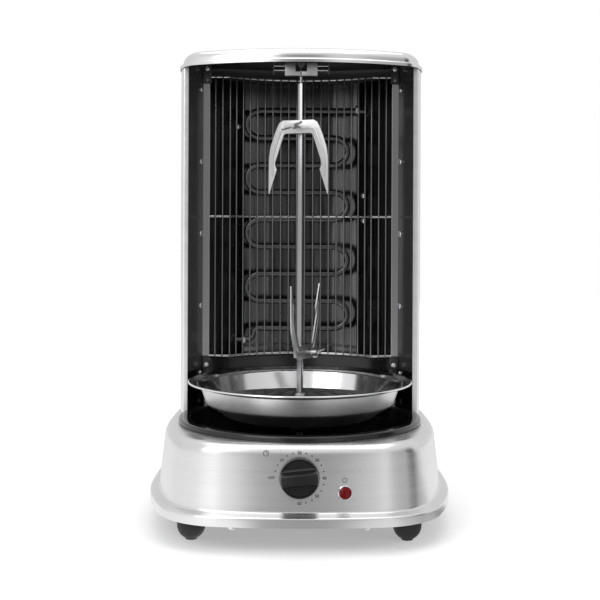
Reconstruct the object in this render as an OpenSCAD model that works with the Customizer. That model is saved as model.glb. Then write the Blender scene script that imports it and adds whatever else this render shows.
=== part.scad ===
// Electric skewer grill: a base with timer, lamp and motor, a round drip bowl, a turning skewer
// with two forks, and an upright heater tower with a wire guard, closed by a domed cap.
// Millimetres, +Z up, front towards -Y. The origin is the middle of the footprint on the table.

/* [Base] */
// Width of the base flange
base_w = 302; // [296:1:320]
// Depth of the base flange
base_d = 320; // [314:1:340]
// How far the middle of the base lies behind the skewer
base_back = 12; // [8:1:16]
// Radius of the front and rear faces of the base in plan
base_face_r = 565; // [450:5:900]
// Radius of the front corners of the base in plan
base_corner_r = 71; // [60:1:85]
// Radius of the rear corners of the base in plan
base_rear_corner_r = 80; // [70:1:90]
// Radius of the sides of the base in plan, before their widest place
base_front_side_r = 320; // [280:10:600]
// Radius of the sides of the base in plan, behind their widest place
base_side_r = 1400; // [900:50:2000]
// Height of the flange band
flange_h = 8.8; // [6:0.1:12]
// Radius of the flange's upper edge
flange_edge_r = 2.4; // [1:0.1:3]
// How far the wall stands in from the flange
flange_step = 9; // [6:0.5:12]
// Height of the slope between flange and wall
flange_slope_h = 2.6; // [1.5:0.1:4]
// Height of the sloping wall above the flange slope
base_wall_h = 50; // [44:1:58]
// How far the wall leans in over its height
base_lean = 5.3; // [3:0.1:7]
// Radius of the shoulder between wall and top
shoulder_r = 11; // [8:0.5:12]
// Thickness of the sheet metal of the base
base_sheet = 1; // [0.8:0.1:1.5]
// Thickness of the bottom plate
bottom_plate_t = 1.4; // [1:0.1:2]
// Gap between the bottom plate and the flange
bottom_plate_gap = 0.3; // [0.2:0.05:0.6]

/* [Feet] */
// Height of the feet
foot_h = 24.6; // [20:0.1:30]
// Largest diameter of a foot
foot_d = 27; // [24:0.5:30]
// Diameter of a foot where it stands
foot_sole_d = 11.8; // [11:0.1:14]
// Distance of the feet from the middle, sideways
foot_x = 102; // [95:1:108]
// How far the front feet lie before the skewer
foot_front = 90; // [80:1:100]
// How far the rear feet lie behind the skewer
foot_rear = 110; // [100:1:120]
// Diameter of the foot screws
foot_screw_d = 4; // [3:0.5:5]
// Distance of the bottom plate screws from the middle, sideways
plate_screw_x = 61; // [50:1:70]
// How far the bottom plate screws lie in from the front and rear of the flange
plate_screw_in = 10; // [9:0.5:12]

/* [Tray] */
// Radius of the opening in the base that the tray sits in
tray_hole_r = 116.5; // [115:0.5:117.5]
// Outer radius of the tray's rim
tray_r = 123; // [121:0.5:124]
// Height of the tray's crest above the top of the base
tray_crest_h = 4.2; // [3:0.1:5]
// Depth of the tray's floor below the top of the base
tray_depth = 9; // [7:0.5:11]
// Radius of the raised circle on the tray's floor
tray_ridge_r = 90; // [80:1:95]
// Thickness of the tray
tray_sheet = 0.9; // [0.7:0.1:1.2]
// Radius of the tray's centre hole
tray_bore_r = 8; // [7:0.5:9]

/* [Drive] */
// Diameter of the drive shaft
drive_d = 8; // [7:0.5:9]
// Diameter of the post that stands up through the bowl
post_d = 11; // [10:0.5:12]
// Height of the top of the post above the top of the base
post_top = 28; // [26:0.5:30]
// Radius of the flange that carries the bowl
hub_flange_r = 20; // [16:0.5:24]
// Thickness of that flange
hub_flange_t = 2; // [1.5:0.1:3]
// Depth of the square socket in the post
socket_depth = 6; // [5:0.5:7]
// Running clearance of the shafts in their bearings, on the radius
run_gap = 0.05; // [0.02:0.01:0.09]
// Diameter of the gear motor
motor_d = 50; // [44:1:56]
// Height of the gear motor
motor_h = 20; // [16:1:22]
// Height of the motor's bracket above the bottom plate
bracket_h = 36; // [32:1:42]
// Width of the motor's bracket
bracket_w = 30; // [26:1:34]
// Thickness of the motor's bracket
bracket_t = 1.5; // [1.2:0.1:2]

/* [Bowl] */
// Radius of the bowl's rim
bowl_r = 114; // [110:0.5:116]
// Width of the bowl's flat rim
bowl_rim_w = 9.5; // [7:0.5:11]
// Height of the bowl
bowl_h = 37; // [33:0.5:39]
// Radius of the bowl at the step in its wall
bowl_step_r = 92; // [86:0.5:95]
// Height of the step in the wall above the bowl's floor
bowl_step_h = 12.5; // [10:0.5:15]
// Radius of the bowl's flat floor
bowl_floor_r = 69; // [60:0.5:74]
// Thickness of the bowl's sheet
bowl_sheet = 0.8; // [0.6:0.1:1]
// Gap between the bowl and the post, on the radius
bowl_gap = 0.3; // [0.2:0.05:0.5]

/* [Controls] */
// Height of the timer knob above the table
knob_z = 67.4; // [64:0.5:70]
// Diameter of the knob's skirt
knob_d = 37; // [34:0.5:38]
// Height of the knob's skirt
knob_skirt_h = 7; // [5:0.5:9]
// How far the knob stands out of the panel
knob_out = 21.5; // [18:0.5:24]
// Width of the grip bar across the knob
grip_w = 12; // [10:0.5:14]
// Turn of the grip bar from level
grip_turn = 6; // [0:1:12]
// Gap between the knob and the panel
knob_gap = 0.8; // [0.5:0.1:1.2]
// Diameter of the timer's shaft
timer_shaft_d = 6; // [5:0.5:7]
// Width and height of the timer's case
timer_w = 34; // [30:1:35]
// Depth of the timer's case
timer_depth = 26; // [22:1:28]
// Distance of the lamp from the middle
lamp_x = 41.5; // [38:0.5:46]
// Height of the lamp above the table
lamp_z = 54.2; // [50:0.2:58]
// Diameter of the lamp's bezel
lamp_bezel_d = 13.4; // [12:0.2:15]
// Diameter of the lamp's lens
lamp_d = 10.6; // [9:0.2:12]
// Diameter of the lamp's body behind the panel
lamp_body_d = 9.6; // [8:0.2:10.4]
// Bore of the cord gland
gland_bore_d = 7.6; // [6.5:0.1:8.5]
// Outer diameter of the cord gland
gland_d = 14; // [12:0.5:16]
// Height of the cord gland above the table
gland_z = 50; // [46:1:58]
// Distance of the cord gland from the middle
gland_x = 36; // [30:1:40]

/* [Tower] */
// Half width of the housing
housing_a = 129; // [127:0.5:130]
// How far the widest place of the tower lies behind the skewer
tower_back = 76; // [72:1:78]
// Depth of the housing behind its widest place
housing_rear = 72; // [68:0.5:74]
// How far the housing's front edges lie behind the skewer
housing_front = 38; // [34:1:44]
// Radius of the housing's sides
housing_side_r = 130; // [125:1:150]
// Radius of the housing's rear corners
housing_corner_r = 45; // [40:1:50]
// Radius of the housing's rear face
housing_face_r = 204; // [190:2:260]
// Height of the housing
housing_h = 366.2; // [350:0.2:380]
// Thickness of the tower's sheet metal
sheet = 0.8; // [0.6:0.1:1]
// Width of the hem along the housing's front edges
hem_w = 5; // [4:0.5:7]
// Half distance between the side panels at their rear edge
panel_rear_x = 106; // [104:0.5:108]
// How far the rear edge of the side panels lies behind the skewer
panel_rear_y = 79.4; // [78:0.2:81]
// Height of the side panels' lower edge above the base
panel_lift = 43; // [38:1:48]
// Height that the side panels reach past the housing
panel_over = 6.8; // [5:0.2:7.4]
// Gap between sheets that are screwed together
lap_gap = 0.05; // [0:0.01:0.2]

/* [Cap] */
// Half width of the cap's crown
cap_a = 127; // [125:0.5:128]
// Depth of the cap before the tower's widest place
cap_front = 90; // [86:0.5:92]
// Depth of the cap behind the tower's widest place
cap_rear = 70; // [68:0.5:72]
// Radius of the cap's front edge in plan
cap_face_r = 204; // [190:2:240]
// Radius of the cap's corners in plan
cap_corner_r = 34; // [30:1:40]
// Height of the cap's rim below its flange
cap_skirt_h = 2.9; // [2:0.1:4]
// How far the rim stands out from the crown
cap_flare = 3.6; // [3:0.1:4]
// Height of the crown above its flange
crown_h = 12.3; // [10:0.1:14]
// Radius of the crown's edge
crown_r = 9; // [6:0.5:10]
// Radius of the cap's rear corners in plan
cap_rear_corner_r = 43; // [38:1:48]
// Thickness of the cap
cap_sheet = 0.9; // [0.7:0.1:1.1]
// Distance of the cap screws from the middle
cap_screw_x = 9; // [7:0.5:12]

/* [Heater] */
// Diameter of the heating tube
element_d = 6.5; // [6:0.1:7]
// Number of level runs of the tube
element_runs = 9; // [7:2:9]
// Distance between the runs
element_pitch = 30.4; // [28:0.2:31]
// Height of the lowest run above the base
element_low = 82.6; // [80:0.2:86]
// Half length of the straight runs
element_half = 41; // [36:0.5:42]
// How far the runs are off the middle
element_off = -4; // [-5:0.5:0]
// How far the tube lies behind the skewer
element_y = 119; // [118:0.5:120]
// Radius of the bends at the lower end
element_end_r = 8; // [7:0.5:8.5]
// How far the reflector's middle lies behind the skewer
reflector_y = 142; // [140:0.5:143]
// Half width of the reflector's middle
reflector_mid = 37; // [34:0.5:42]
// Half width of the reflector's second fold
reflector_fold_x = 64; // [62:0.5:66]
// How far the second fold lies behind the skewer
reflector_fold_y = 128; // [127:0.5:130]
// Half width of the reflector where its front flange begins
reflector_front_x = 99; // [98:0.5:100]
// Height of the reflector's lower edge above the base
reflector_low = 53; // [50:1:56]
// Height of the reflector
reflector_h = 305; // [295:1:310]

/* [Guard] */
// Radius of the wire guard round the skewer
guard_r = 110; // [109:0.5:111]
// Half angle of the guard's round part
guard_angle = 45; // [44:0.5:46]
// Half width of the guard with its flat ends
guard_half = 99; // [97.5:0.5:100]
// Diameter of the guard's rings
ring_d = 2.4; // [2:0.1:2.6]
// Diameter of the guard's upright wires
wire_d = 1.6; // [1.4:0.1:1.8]
// Upright wires on each side of the round part
wires_round = 10; // [8:1:11]
// Distance of the two outer wires from the middle
end_wire_x = [84.6, 92.4]; // [82:0.1:94]
// Height of the lowest ring above the base
guard_low = 56.1; // [55:0.1:58]
// Height of the guard between its lowest and highest ring
guard_h = 302.5; // [290:0.5:304]

/* [Skewer] */
// Width of the square bar
bar_w = 5; // [4.5:0.1:5.5]
// Height of the bar's top above the base
bar_top = 343; // [338:0.5:344]
// Turn of the bar and the upper fork; the lower fork stands a quarter turn on
bar_turn = -26; // [-45:1:0]
// Diameter of the pin on top of the bar
pin_d = 3.2; // [3:0.1:3.5]
// Length of the pin
pin_len = 21.5; // [20:0.5:21.5]
// Gap between the bar and the square holes, on each side
square_gap = 0.15; // [0.1:0.05:0.3]
// Height of the upper fork's bar above the base
fork_upper_z = 292; // [280:0.5:300]
// Height of the lower fork's bar above the base
fork_lower_z = 63.2; // [62:0.2:80]
// Height of a fork's bar
fork_bar_h = 13.4; // [11:0.2:15]
// Length of a fork's prongs below the bar
fork_len = 61.5; // [56:0.5:70]
// Half width of a fork along its prongs
fork_half = 33.6; // [30:0.2:36]
// Half width of a fork's straight edge above the bar
fork_top_half = 17.3; // [15:0.1:19]
// Half distance between the prongs at the bar
fork_in_half = 15.8; // [14:0.2:17]
// Depth of the barb on the inside of a prong
barb_w = 2.1; // [1:0.1:3]
// Thickness of a fork
fork_t = 1.6; // [1.2:0.1:2]
// Height of the raised rib on a fork
fork_rib_h = 0.5; // [0.3:0.1:0.8]
// Width of the raised rib on a fork
fork_rib_w = 2.4; // [1.6:0.1:3]
// Width of a fork's sleeve
sleeve_w = 10; // [9:0.2:11]
// Diameter of a thumb screw
thumb_d = 3; // [2.6:0.1:3.4]
// Width across the wings of a thumb screw
wing_w = 24; // [18:0.5:28]
// Length of the wings of a thumb screw
wing_len = 9; // [7:0.5:12]
// Turn of the wings from level
wing_turn = 18; // [0:1:40]

/* [Top holder] */
// Half width of the yoke under the ceiling
yoke_half = 28.6; // [26:0.2:30]
// Depth of the yoke
yoke_d = 12; // [10:0.5:14]
// Diameter of the guide rods
rod_d = 1.4; // [1.2:0.1:1.6]
// Distance from the middle to a jaw's block
jaw_in = 5.8; // [5.4:0.1:6.2]
// Length of a jaw's block
jaw_len = 10.7; // [10:0.1:11.5]
// Depth of a jaw
jaw_d = 8; // [7:0.2:9]
// Height of a jaw
jaw_h = 13.2; // [12.8:0.1:14]
// Height of a jaw's lip
lip_h = 4.2; // [3.6:0.1:4.8]
// Height of a jaw's lower face above the bar's top
jaw_lift = 7.8; // [7.4:0.1:8.4]
// Outer diameter of the springs in the jaws
spring_d = 3.8; // [3.4:0.1:4]

/* [Hidden] */
$fn = 96;
// Fineness of small round pieces
small = 32;

// Heights
base_z = foot_h;
slope_z = base_z + flange_h;
wall_z = slope_z + flange_slope_h;
shoulder_z = wall_z + base_wall_h;
top_z = shoulder_z + shoulder_r;
floor_z = base_z + bottom_plate_t;
housing_top = top_z + housing_h;
ceiling_z = housing_top + panel_over;
cap_top = housing_top + crown_h;
bowl_z = top_z + 4;
post_z = top_z + post_top;
element_z = top_z + element_low;
bar_z = top_z + bar_top;
jaw_z = bar_z + jaw_lift;

// Plans: half width, half depth, face radius, corner radius, side radius
base_front_plan = [base_w / 2, base_d / 2, base_face_r, base_corner_r, base_front_side_r];
base_rear_plan = [base_w / 2, base_d / 2, base_face_r, base_rear_corner_r, base_side_r];
cap_front_plan = [cap_a, cap_front, cap_face_r, cap_corner_r, housing_side_r];
cap_rear_plan = [cap_a, cap_rear, housing_face_r, cap_rear_corner_r, housing_side_r];
housing_plan = [housing_a, housing_rear, housing_face_r, housing_corner_r, housing_side_r];

// Lean of the base's wall, and places on the front panel
lean = atan(base_lean / base_wall_h);
function wall_inset(z) = flange_step + (z - wall_z) * tan(lean);
function panel_r(z) = base_face_r - wall_inset(z);
function panel_y(x, z) = base_back - (base_d / 2 - base_face_r) - sqrt(pow(panel_r(z), 2) - x * x);
function panel_turn(x, z) = asin(x / panel_r(z));

// The skewer's axis lies a little before the middle of the footprint
grip_half = knob_d / 2 - 0.8;
grip_corner = grip_w / 2 * cos(grip_turn) + grip_half * sin(grip_turn) * 0.9;
front_y = panel_y(0, knob_z) - knob_out * cos(lean) - grip_corner * sin(lean);
axis_y = -(base_back + base_d / 2 + front_y) / 2;

// Fasteners: shank, head and hole sizes
screw_d = 3;
screw_head_d = 6.4;
screw_head_h = 2.2;
screw_gap = 0.15;

// Paths and bands
function unit(v) = v / norm(v);
function left_of(v) = [-v[1], v[0]];
function step_in(p, i) = i > 0 ? unit(p[i] - p[i - 1]) : unit(p[1] - p[0]);
function step_out(p, i) = i < len(p) - 1 ? unit(p[i + 1] - p[i]) : step_in(p, i);
function miter(p, i) =
    let (m = unit(step_in(p, i) + step_out(p, i))) left_of(m) / (m * step_in(p, i));
function band(p, t) = concat(p, [for (i = [len(p) - 1:-1:0]) p[i] + t * miter(p, i)]);
function arc(c, r, from, to, n) =
    [for (i = [0:n]) let (a = from + (to - from) * i / n) c + r * [cos(a), sin(a)]];
function past_first(p) = [for (i = [1:len(p) - 1]) p[i]];
function before_last(p) = [for (i = [0:len(p) - 2]) p[i]];
function backwards(p) = [for (i = [len(p) - 1:-1:0]) p[i]];
function flipped(p, sx, sy) = [for (q = p) [sx * q[0], sy * q[1]]];

// A plan's quarter is three arcs that touch: side, corner and face
function side_c(p) = [p[0] - p[4], 0];
function face_c(p) = [0, p[1] - p[2]];
function corner_c(p) =
    let (s = side_c(p), f = face_c(p), d = norm(f - s))
    let (a = (pow(p[4] - p[3], 2) - pow(p[2] - p[3], 2) + d * d) / (2 * d))
    let (h = sqrt(pow(p[4] - p[3], 2) - a * a), u = (f - s) / d)
    s + a * u + h * [abs(u[1]), abs(u[0])];
function bearing(from, to) = atan2(to[1] - from[1], to[0] - from[0]);
function side_angle(p) = bearing(side_c(p), corner_c(p));
function face_angle(p) = bearing(face_c(p), corner_c(p));
// Stations round a plan: a point of the outline and the way outwards there
function arc_stations(c, r, from, to, n) =
    [for (i = [0:n]) let (a = from + (to - from) * i / n, d = [cos(a), sin(a)]) [c + r * d, d]];
function quarter(p) = concat(
    arc_stations(side_c(p), p[4], 0, side_angle(p), 3),
    past_first(arc_stations(corner_c(p), p[3], side_angle(p), face_angle(p), 6)),
    past_first(arc_stations(face_c(p), p[2], face_angle(p), 90, 5)));
function turned(stations, sx, sy) =
    [for (s = stations) [[sx * s[0][0], sy * s[0][1]], [sx * s[1][0], sy * s[1][1]]]];
function stations(front, rear) = concat(
    before_last(quarter(rear)), before_last(turned(backwards(quarter(rear)), -1, 1)),
    before_last(turned(quarter(front), -1, -1)), before_last(turned(backwards(quarter(front)), 1, -1)));
function inset_by(stations, inset) = [for (s = stations) s[0] - inset * s[1]];
function ring_at(stations, p) = [for (q = inset_by(stations, -p[0])) [q[0], q[1], p[1]]];
function round_ring(stations, centre, r, z) =
    [for (s = stations) let (q = centre + r * unit(s[0] - centre)) [q[0], q[1], z]];

module at_axis() {
    translate([0, axis_y, 0]) children();
}

module both_sides() {
    children();
    mirror([1, 0, 0]) children();
}

// A skin over rings of points, each level and anticlockwise; a loop of rings joins its two ends
module skin(rings, loop) {
    n = len(rings[0]);
    m = len(rings);
    sides = [for (j = [0:loop ? m - 1 : m - 2], k = [0:n - 1])
        let (a = j * n + k, b = j * n + (k + 1) % n, up = ((j + 1) % m - j) * n)
        each [[a, b + up, b], [a, a + up, b + up]]];
    ends = [[for (k = [0:n - 1]) k], [for (k = [n - 1:-1:0]) (m - 1) * n + k]];
    polyhedron([for (r = rings) each r], loop ? sides : concat(sides, ends));
}

module plan_plate(front, rear, inset, t) {
    linear_extrude(t) polygon(inset_by(stations(front, rear), inset));
}

// Stands a piece on the sloping front panel, its +Z pointing outwards
module on_panel(x, z) {
    translate([x, panel_y(x, z), z]) rotate([0, 0, panel_turn(x, z)])
        rotate([90 - lean, 0, 0]) children();
}

// Stands a piece on the sloping rear wall, its +Z pointing outwards
module on_rear_wall(x, z) {
    translate([0, 2 * base_back, 0]) mirror([0, 1, 0]) on_panel(x, z) children();
}

// A pan head screw: head upwards from z = 0, shank below
module screw(d, head_d, head_h, length) {
    rotate_extrude($fn = small) polygon(concat(
        [[0, -length], [d / 2, -length], [d / 2, 0], [head_d / 2, 0]],
        arc([head_d / 2 - head_h * 0.6, head_h * 0.4], head_h * 0.6, 0, 90, 5),
        [[0, head_h]]));
}

// ---- Base ----

base_outer = concat(
    [[0, base_z]],
    arc([-flange_edge_r, slope_z - flange_edge_r], flange_edge_r, 0, 75, 3),
    [[1.2 - flange_step, wall_z - 0.4], [-flange_step - 1.2 * tan(lean), wall_z + 1.2]],
    arc([-flange_step - base_lean - shoulder_r, shoulder_z], shoulder_r, 0, 90, 5));
base_inner = concat(
    arc([-flange_step - base_lean - shoulder_r, shoulder_z], shoulder_r - base_sheet, 90, 0, 3),
    [[-flange_step - base_sheet, wall_z - base_sheet],
     [-base_sheet - 1, slope_z - base_sheet], [-base_sheet, slope_z - base_sheet - 1],
     [-base_sheet, base_z]]);
base_stations = stations(base_front_plan, base_rear_plan);
skewer_c = [0, -base_back];
base_rings = concat(
    [for (p = base_outer) ring_at(base_stations, p)],
    [round_ring(base_stations, skewer_c, tray_hole_r, top_z),
     round_ring(base_stations, skewer_c, tray_hole_r, top_z - base_sheet)],
    [for (p = base_inner) ring_at(base_stations, p)]);
plate_screw_y = base_d / 2 - plate_screw_in;
plate_posts = [for (x = [-1, 1], y = [-1, 1]) [x * plate_screw_x, base_back + y * plate_screw_y]];
plate_post_d = 8;
gland_reach = 20;

module base_shell() {
    color("silver") at_axis() difference() {
        union() {
            translate([0, base_back, 0]) skin(base_rings, true);
            for (p = plate_posts) translate([p[0], p[1], floor_z])
                cylinder(d = plate_post_d, h = slope_z - floor_z);
        }
        on_panel(0, knob_z) translate([0, 0, -10])
            cylinder(d = timer_shaft_d + 2, h = 20);
        on_panel(lamp_x, lamp_z) translate([0, 0, -10])
            cylinder(d = lamp_body_d + 0.4, h = 20);
        on_rear_wall(gland_x, gland_z) translate([0, 0, -gland_reach / 2])
            cylinder(d = gland_neck_d + 0.4, h = gland_reach);
        for (p = plate_posts) translate([p[0], p[1], floor_z - 1])
            cylinder(d = screw_d + 2 * screw_gap, h = flange_h - 1, $fn = small);
    }
}

foot_places = [[foot_x, -foot_front], [-foot_x, -foot_front], [foot_x, foot_rear],
    [-foot_x, foot_rear]];

module bottom_plate() {
    color("dimgray") at_axis() difference() {
        translate([0, base_back, base_z])
            plan_plate(base_front_plan, base_rear_plan, base_sheet + bottom_plate_gap, bottom_plate_t);
        for (p = foot_places) translate([p[0], p[1], base_z - 1])
            cylinder(d = foot_screw_d + 2 * screw_gap, h = 5);
        for (p = plate_posts) translate([p[0], p[1], base_z - 1])
            cylinder(d = screw_d + 2 * screw_gap, h = 5, $fn = small);
    }
}

foot_round_r = foot_d / 2;
foot_recess_d = 9;
foot_recess_h = 8;
foot_section = concat(
    [[0, 0], [foot_sole_d / 2, 0]],
    arc([0, foot_round_r], foot_round_r, -acos(foot_sole_d / foot_d), 0, 8),
    [[foot_d / 2, foot_h - 1.5], [foot_d / 2 - 1, foot_h], [0, foot_h]]);

module feet() {
    color("black") at_axis() for (p = foot_places) translate([p[0], p[1], 0]) difference() {
        rotate_extrude() polygon(foot_section);
        translate([0, 0, -1]) cylinder(d = foot_recess_d, h = foot_recess_h + 1);
        translate([0, 0, -1]) cylinder(d = foot_screw_d + 2 * screw_gap, h = foot_h + 2);
    }
}

foot_nut_h = 3.2;

module foot_screws() {
    color("gainsboro") at_axis() for (p = foot_places) translate([p[0], p[1], foot_recess_h]) {
        mirror([0, 0, 1])
            screw(foot_screw_d, foot_recess_d - 1.4, 2.6, floor_z + foot_nut_h + 1 - foot_recess_h);
        translate([0, 0, floor_z - foot_recess_h]) difference() {
            cylinder(r = 4, h = foot_nut_h, $fn = 6);
            translate([0, 0, -1]) cylinder(d = foot_screw_d + 2 * run_gap, h = foot_nut_h + 2);
        }
    }
}

plate_screw_head_d = 7.6;
plate_screw_head_h = 3.4;

module plate_screws() {
    color("gainsboro") at_axis() for (p = plate_posts) translate([p[0], p[1], base_z])
        mirror([0, 0, 1]) screw(screw_d, plate_screw_head_d, plate_screw_head_h, flange_h - 2);
}

// ---- Tray ----

tray_floor = top_z - tray_depth;
tray_skin = concat(
    [[tray_r, top_z + 0.3]],
    arc([tray_r - 2.2, top_z + tray_crest_h - 2.2 + tray_sheet], 2.2, 30, 90, 4),
    arc([tray_hole_r - 3.4, top_z + tray_crest_h - 1.3], 2.2, 90, 160, 5),
    arc([tray_hole_r - 9, tray_floor + 3], 3, -20, -90, 4),
    [[tray_ridge_r + 3, tray_floor], [tray_ridge_r + 1, tray_floor + 1],
     [tray_ridge_r - 1, tray_floor + 1], [tray_ridge_r - 3, tray_floor]],
    [[tray_bore_r + 6, tray_floor], [tray_bore_r + 5, tray_floor + 1.2], [tray_bore_r, tray_floor + 1.2]]);

module base_tray() {
    color([0.06, 0.06, 0.065]) at_axis() rotate_extrude()
        polygon(band(tray_skin, tray_sheet));
}

bush_flange_r = tray_bore_r + 3.5;
bush_z = tray_floor + 1.2;
bush_flange_t = 1.6;
bush_depth = 6;

module hub_bush() {
    color("saddlebrown") at_axis() difference() {
        union() {
            translate([0, 0, bush_z]) cylinder(r = bush_flange_r, h = bush_flange_t);
            translate([0, 0, bush_z - bush_depth]) cylinder(r = tray_bore_r - 0.1, h = bush_depth + 0.5);
        }
        translate([0, 0, bush_z - 20]) cylinder(d = drive_d + 2 * run_gap, h = 40);
    }
}

// ---- Drive ----

bracket_z = floor_z + bracket_h;
motor_sink = 12;
socket_w = bar_w + 2 * square_gap;

module drive_hub() {
    color("gainsboro") at_axis() difference() {
        union() {
            translate([0, 0, bracket_z - motor_sink])
                cylinder(d = drive_d, h = bowl_z - bracket_z + motor_sink);
            translate([0, 0, bowl_z - hub_flange_t]) cylinder(r = hub_flange_r, h = hub_flange_t);
            translate([0, 0, bowl_z - 0.5]) cylinder(d = post_d, h = post_z - bowl_z - 0.5);
            translate([0, 0, post_z - 1]) cylinder(d1 = post_d, d2 = post_d - 1.6, h = 1);
        }
        translate([0, 0, post_z - socket_depth]) rotate([0, 0, bar_turn])
            translate([-socket_w / 2, -socket_w / 2, 0]) cube([socket_w, socket_w, socket_depth + 1]);
    }
}

bracket_span = 84;
bracket_foot = 14;
motor_screw_x = 31;
bracket_path = [[-bracket_span / 2 - bracket_foot, 0], [-bracket_span / 2, 0],
    [-bracket_span / 2, bracket_h], [bracket_span / 2, bracket_h], [bracket_span / 2, 0],
    [bracket_span / 2 + bracket_foot, 0]];

module motor_bracket() {
    color("silver") at_axis() difference() {
        translate([0, bracket_w / 2, floor_z]) rotate([90, 0, 0])
            linear_extrude(bracket_w) polygon(band(bracket_path, bracket_t));
        translate([0, 0, bracket_z - 1]) cylinder(d = drive_d + 4, h = bracket_t + 2);
        both_sides() translate([motor_screw_x, 0, bracket_z - 1])
            cylinder(d = screw_d + 2 * screw_gap, h = bracket_t + 2, $fn = small);
    }
}

motor_ear_t = 2;

module gear_motor() {
    color("darkgray") at_axis() difference() {
        union() {
            translate([0, 0, bracket_z - motor_h]) cylinder(d = motor_d, h = motor_h);
            translate([-motor_screw_x, -5, bracket_z - motor_ear_t])
                cube([2 * motor_screw_x, 10, motor_ear_t]);
            both_sides() translate([motor_screw_x, 0, bracket_z - motor_ear_t])
                cylinder(r = 5, h = motor_ear_t);
        }
        translate([0, 0, bracket_z - motor_sink - 1]) cylinder(d = drive_d + 2 * run_gap, h = motor_h);
        both_sides() translate([motor_screw_x, 0, bracket_z - 5])
            cylinder(d = screw_d + 2 * screw_gap, h = 10, $fn = small);
    }
}

module motor_screws() {
    color("gainsboro") at_axis() both_sides() translate([motor_screw_x, 0, bracket_z + bracket_t])
        screw(screw_d, screw_head_d, screw_head_h, bracket_t + motor_ear_t + 2);
}

block_size = [30, 16, 14];
block_place = [gland_x - 15, 90, floor_z];
block_bores = 3;

module terminal_block() {
    color("ivory") at_axis() translate(block_place) difference() {
        cube(block_size);
        for (i = [0:block_bores - 1]) translate([6 + 9 * i, -1, 7]) rotate([-90, 0, 0])
            cylinder(d = 4, h = block_size[1] + 2, $fn = small);
    }
}

gland_out = 7;
gland_in = 8;
gland_rim = 2;
gland_seat = 0.2;
gland_neck_d = gland_d - 4;

module cord_gland() {
    color("black") at_axis() on_rear_wall(gland_x, gland_z) difference() {
        union() {
            translate([0, 0, gland_seat]) cylinder(d = gland_d, h = gland_out - gland_seat);
            translate([0, 0, -gland_in]) cylinder(d = gland_neck_d, h = gland_in + 1);
            translate([0, 0, -gland_in - gland_rim]) cylinder(d = gland_d, h = gland_in - base_sheet);
        }
        translate([0, 0, -gland_reach]) cylinder(d = gland_bore_d, h = 2 * gland_reach);
    }
}

// ---- Controls ----

timer_face = -base_sheet / cos(lean) - 0.5;

module timer_body() {
    color("tan") at_axis() on_panel(0, knob_z) difference() {
        union() {
            translate([-timer_w / 2, -timer_w / 2, timer_face - timer_depth])
                cube([timer_w, timer_w, timer_depth]);
            translate([0, 0, timer_face - 0.5])
                cylinder(d = timer_shaft_d + 1.4, h = knob_gap - 0.4 - timer_face);
        }
        translate([0, 0, timer_face - 14]) cylinder(d = timer_shaft_d + 2 * run_gap, h = 30);
    }
}

timer_shaft_in = 12;
knob_base = knob_gap + 0.4;

module timer_shaft() {
    color("gainsboro") at_axis() on_panel(0, knob_z)
        translate([0, 0, timer_face - timer_shaft_in])
        cylinder(d = timer_shaft_d, h = timer_shaft_in - timer_face + knob_out - 6);
}

knob_edge_r = 1.6;

module knob() {
    color([0.12, 0.12, 0.13]) at_axis() on_panel(0, knob_z) difference() {
        union() {
            translate([0, 0, knob_base]) rotate_extrude() polygon(concat(
                [[0, 0], [knob_d / 2, 0]],
                arc([knob_d / 2 - knob_edge_r - 0.4, knob_skirt_h - knob_base - knob_edge_r],
                    knob_edge_r, 5, 90, 4),
                [[0, knob_skirt_h - knob_base]]));
            intersection() {
                translate([0, 0, knob_base]) cylinder(r = grip_half, h = knob_out - knob_base);
                rotate([0, 0, -grip_turn]) translate([-knob_d, -grip_w / 2, knob_base + 1])
                    cube([2 * knob_d, grip_w, knob_out - knob_base - 1]);
            }
        }
        translate([0, 0, -5]) cylinder(d = timer_shaft_d + 2 * run_gap, h = 5 + knob_out - 5.5);
    }
}

bezel_h = 2.2;

module lamp_bezel() {
    color("gainsboro") at_axis() on_panel(lamp_x, lamp_z) difference() {
        translate([0, 0, 0.15]) rotate_extrude() polygon([[0, 0], [lamp_bezel_d / 2, 0],
            [lamp_bezel_d / 2, 0.8], [lamp_bezel_d / 2 - 0.6, bezel_h - 0.4],
            [lamp_bezel_d / 2 - 1.2, bezel_h], [0, bezel_h]]);
        translate([0, 0, -1]) cylinder(d = lamp_body_d + 0.2, h = 10);
        translate([0, 0, 1.2]) cylinder(d = lamp_d + 0.1, h = 10);
    }
}

lens_h = 3.4;

module lamp_lens() {
    color([0.75, 0.03, 0.03]) at_axis() on_panel(lamp_x, lamp_z) translate([0, 0, 1.25])
        rotate_extrude() polygon(concat([[0, 0], [lamp_d / 2, 0], [lamp_d / 2, 0.9]],
            arc([0, lens_h - 10], 10, 60, 90, 6)));
}

lamp_body_len = 20;

module lamp_body() {
    color("ivory") at_axis() on_panel(lamp_x, lamp_z) {
        translate([0, 0, -lamp_body_len]) cylinder(d = lamp_body_d, h = lamp_body_len + 1.2);
        translate([0, 0, -base_sheet - 2.4]) cylinder(d = lamp_body_d + 4, h = 2);
    }
}

// ---- Tower ----

front_angle = asin((tower_back - housing_front) / housing_side_r);
housing_edge_x = housing_a - housing_side_r * (1 - cos(front_angle));
vent_w = 26;
vent_h = 3.4;
vent_rows = 7;
vent_pitch = 9;

module vent_slot(w, h) {
    square([w - h, h], center = true);
    both_sides() translate([(w - h) / 2, 0]) circle(d = h, $fn = small);
}

// The wrap round the tower, from the hem on the right to the middle of the rear
wrap_half = concat(
    [[housing_edge_x - hem_w, housing_front - tower_back]],
    before_last(arc(side_c(housing_plan), housing_side_r, -front_angle, 0, 6)),
    inset_by(quarter(housing_plan), 0));
wrap_path = concat(wrap_half, past_first(flipped(backwards(wrap_half), -1, 1)));

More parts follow.
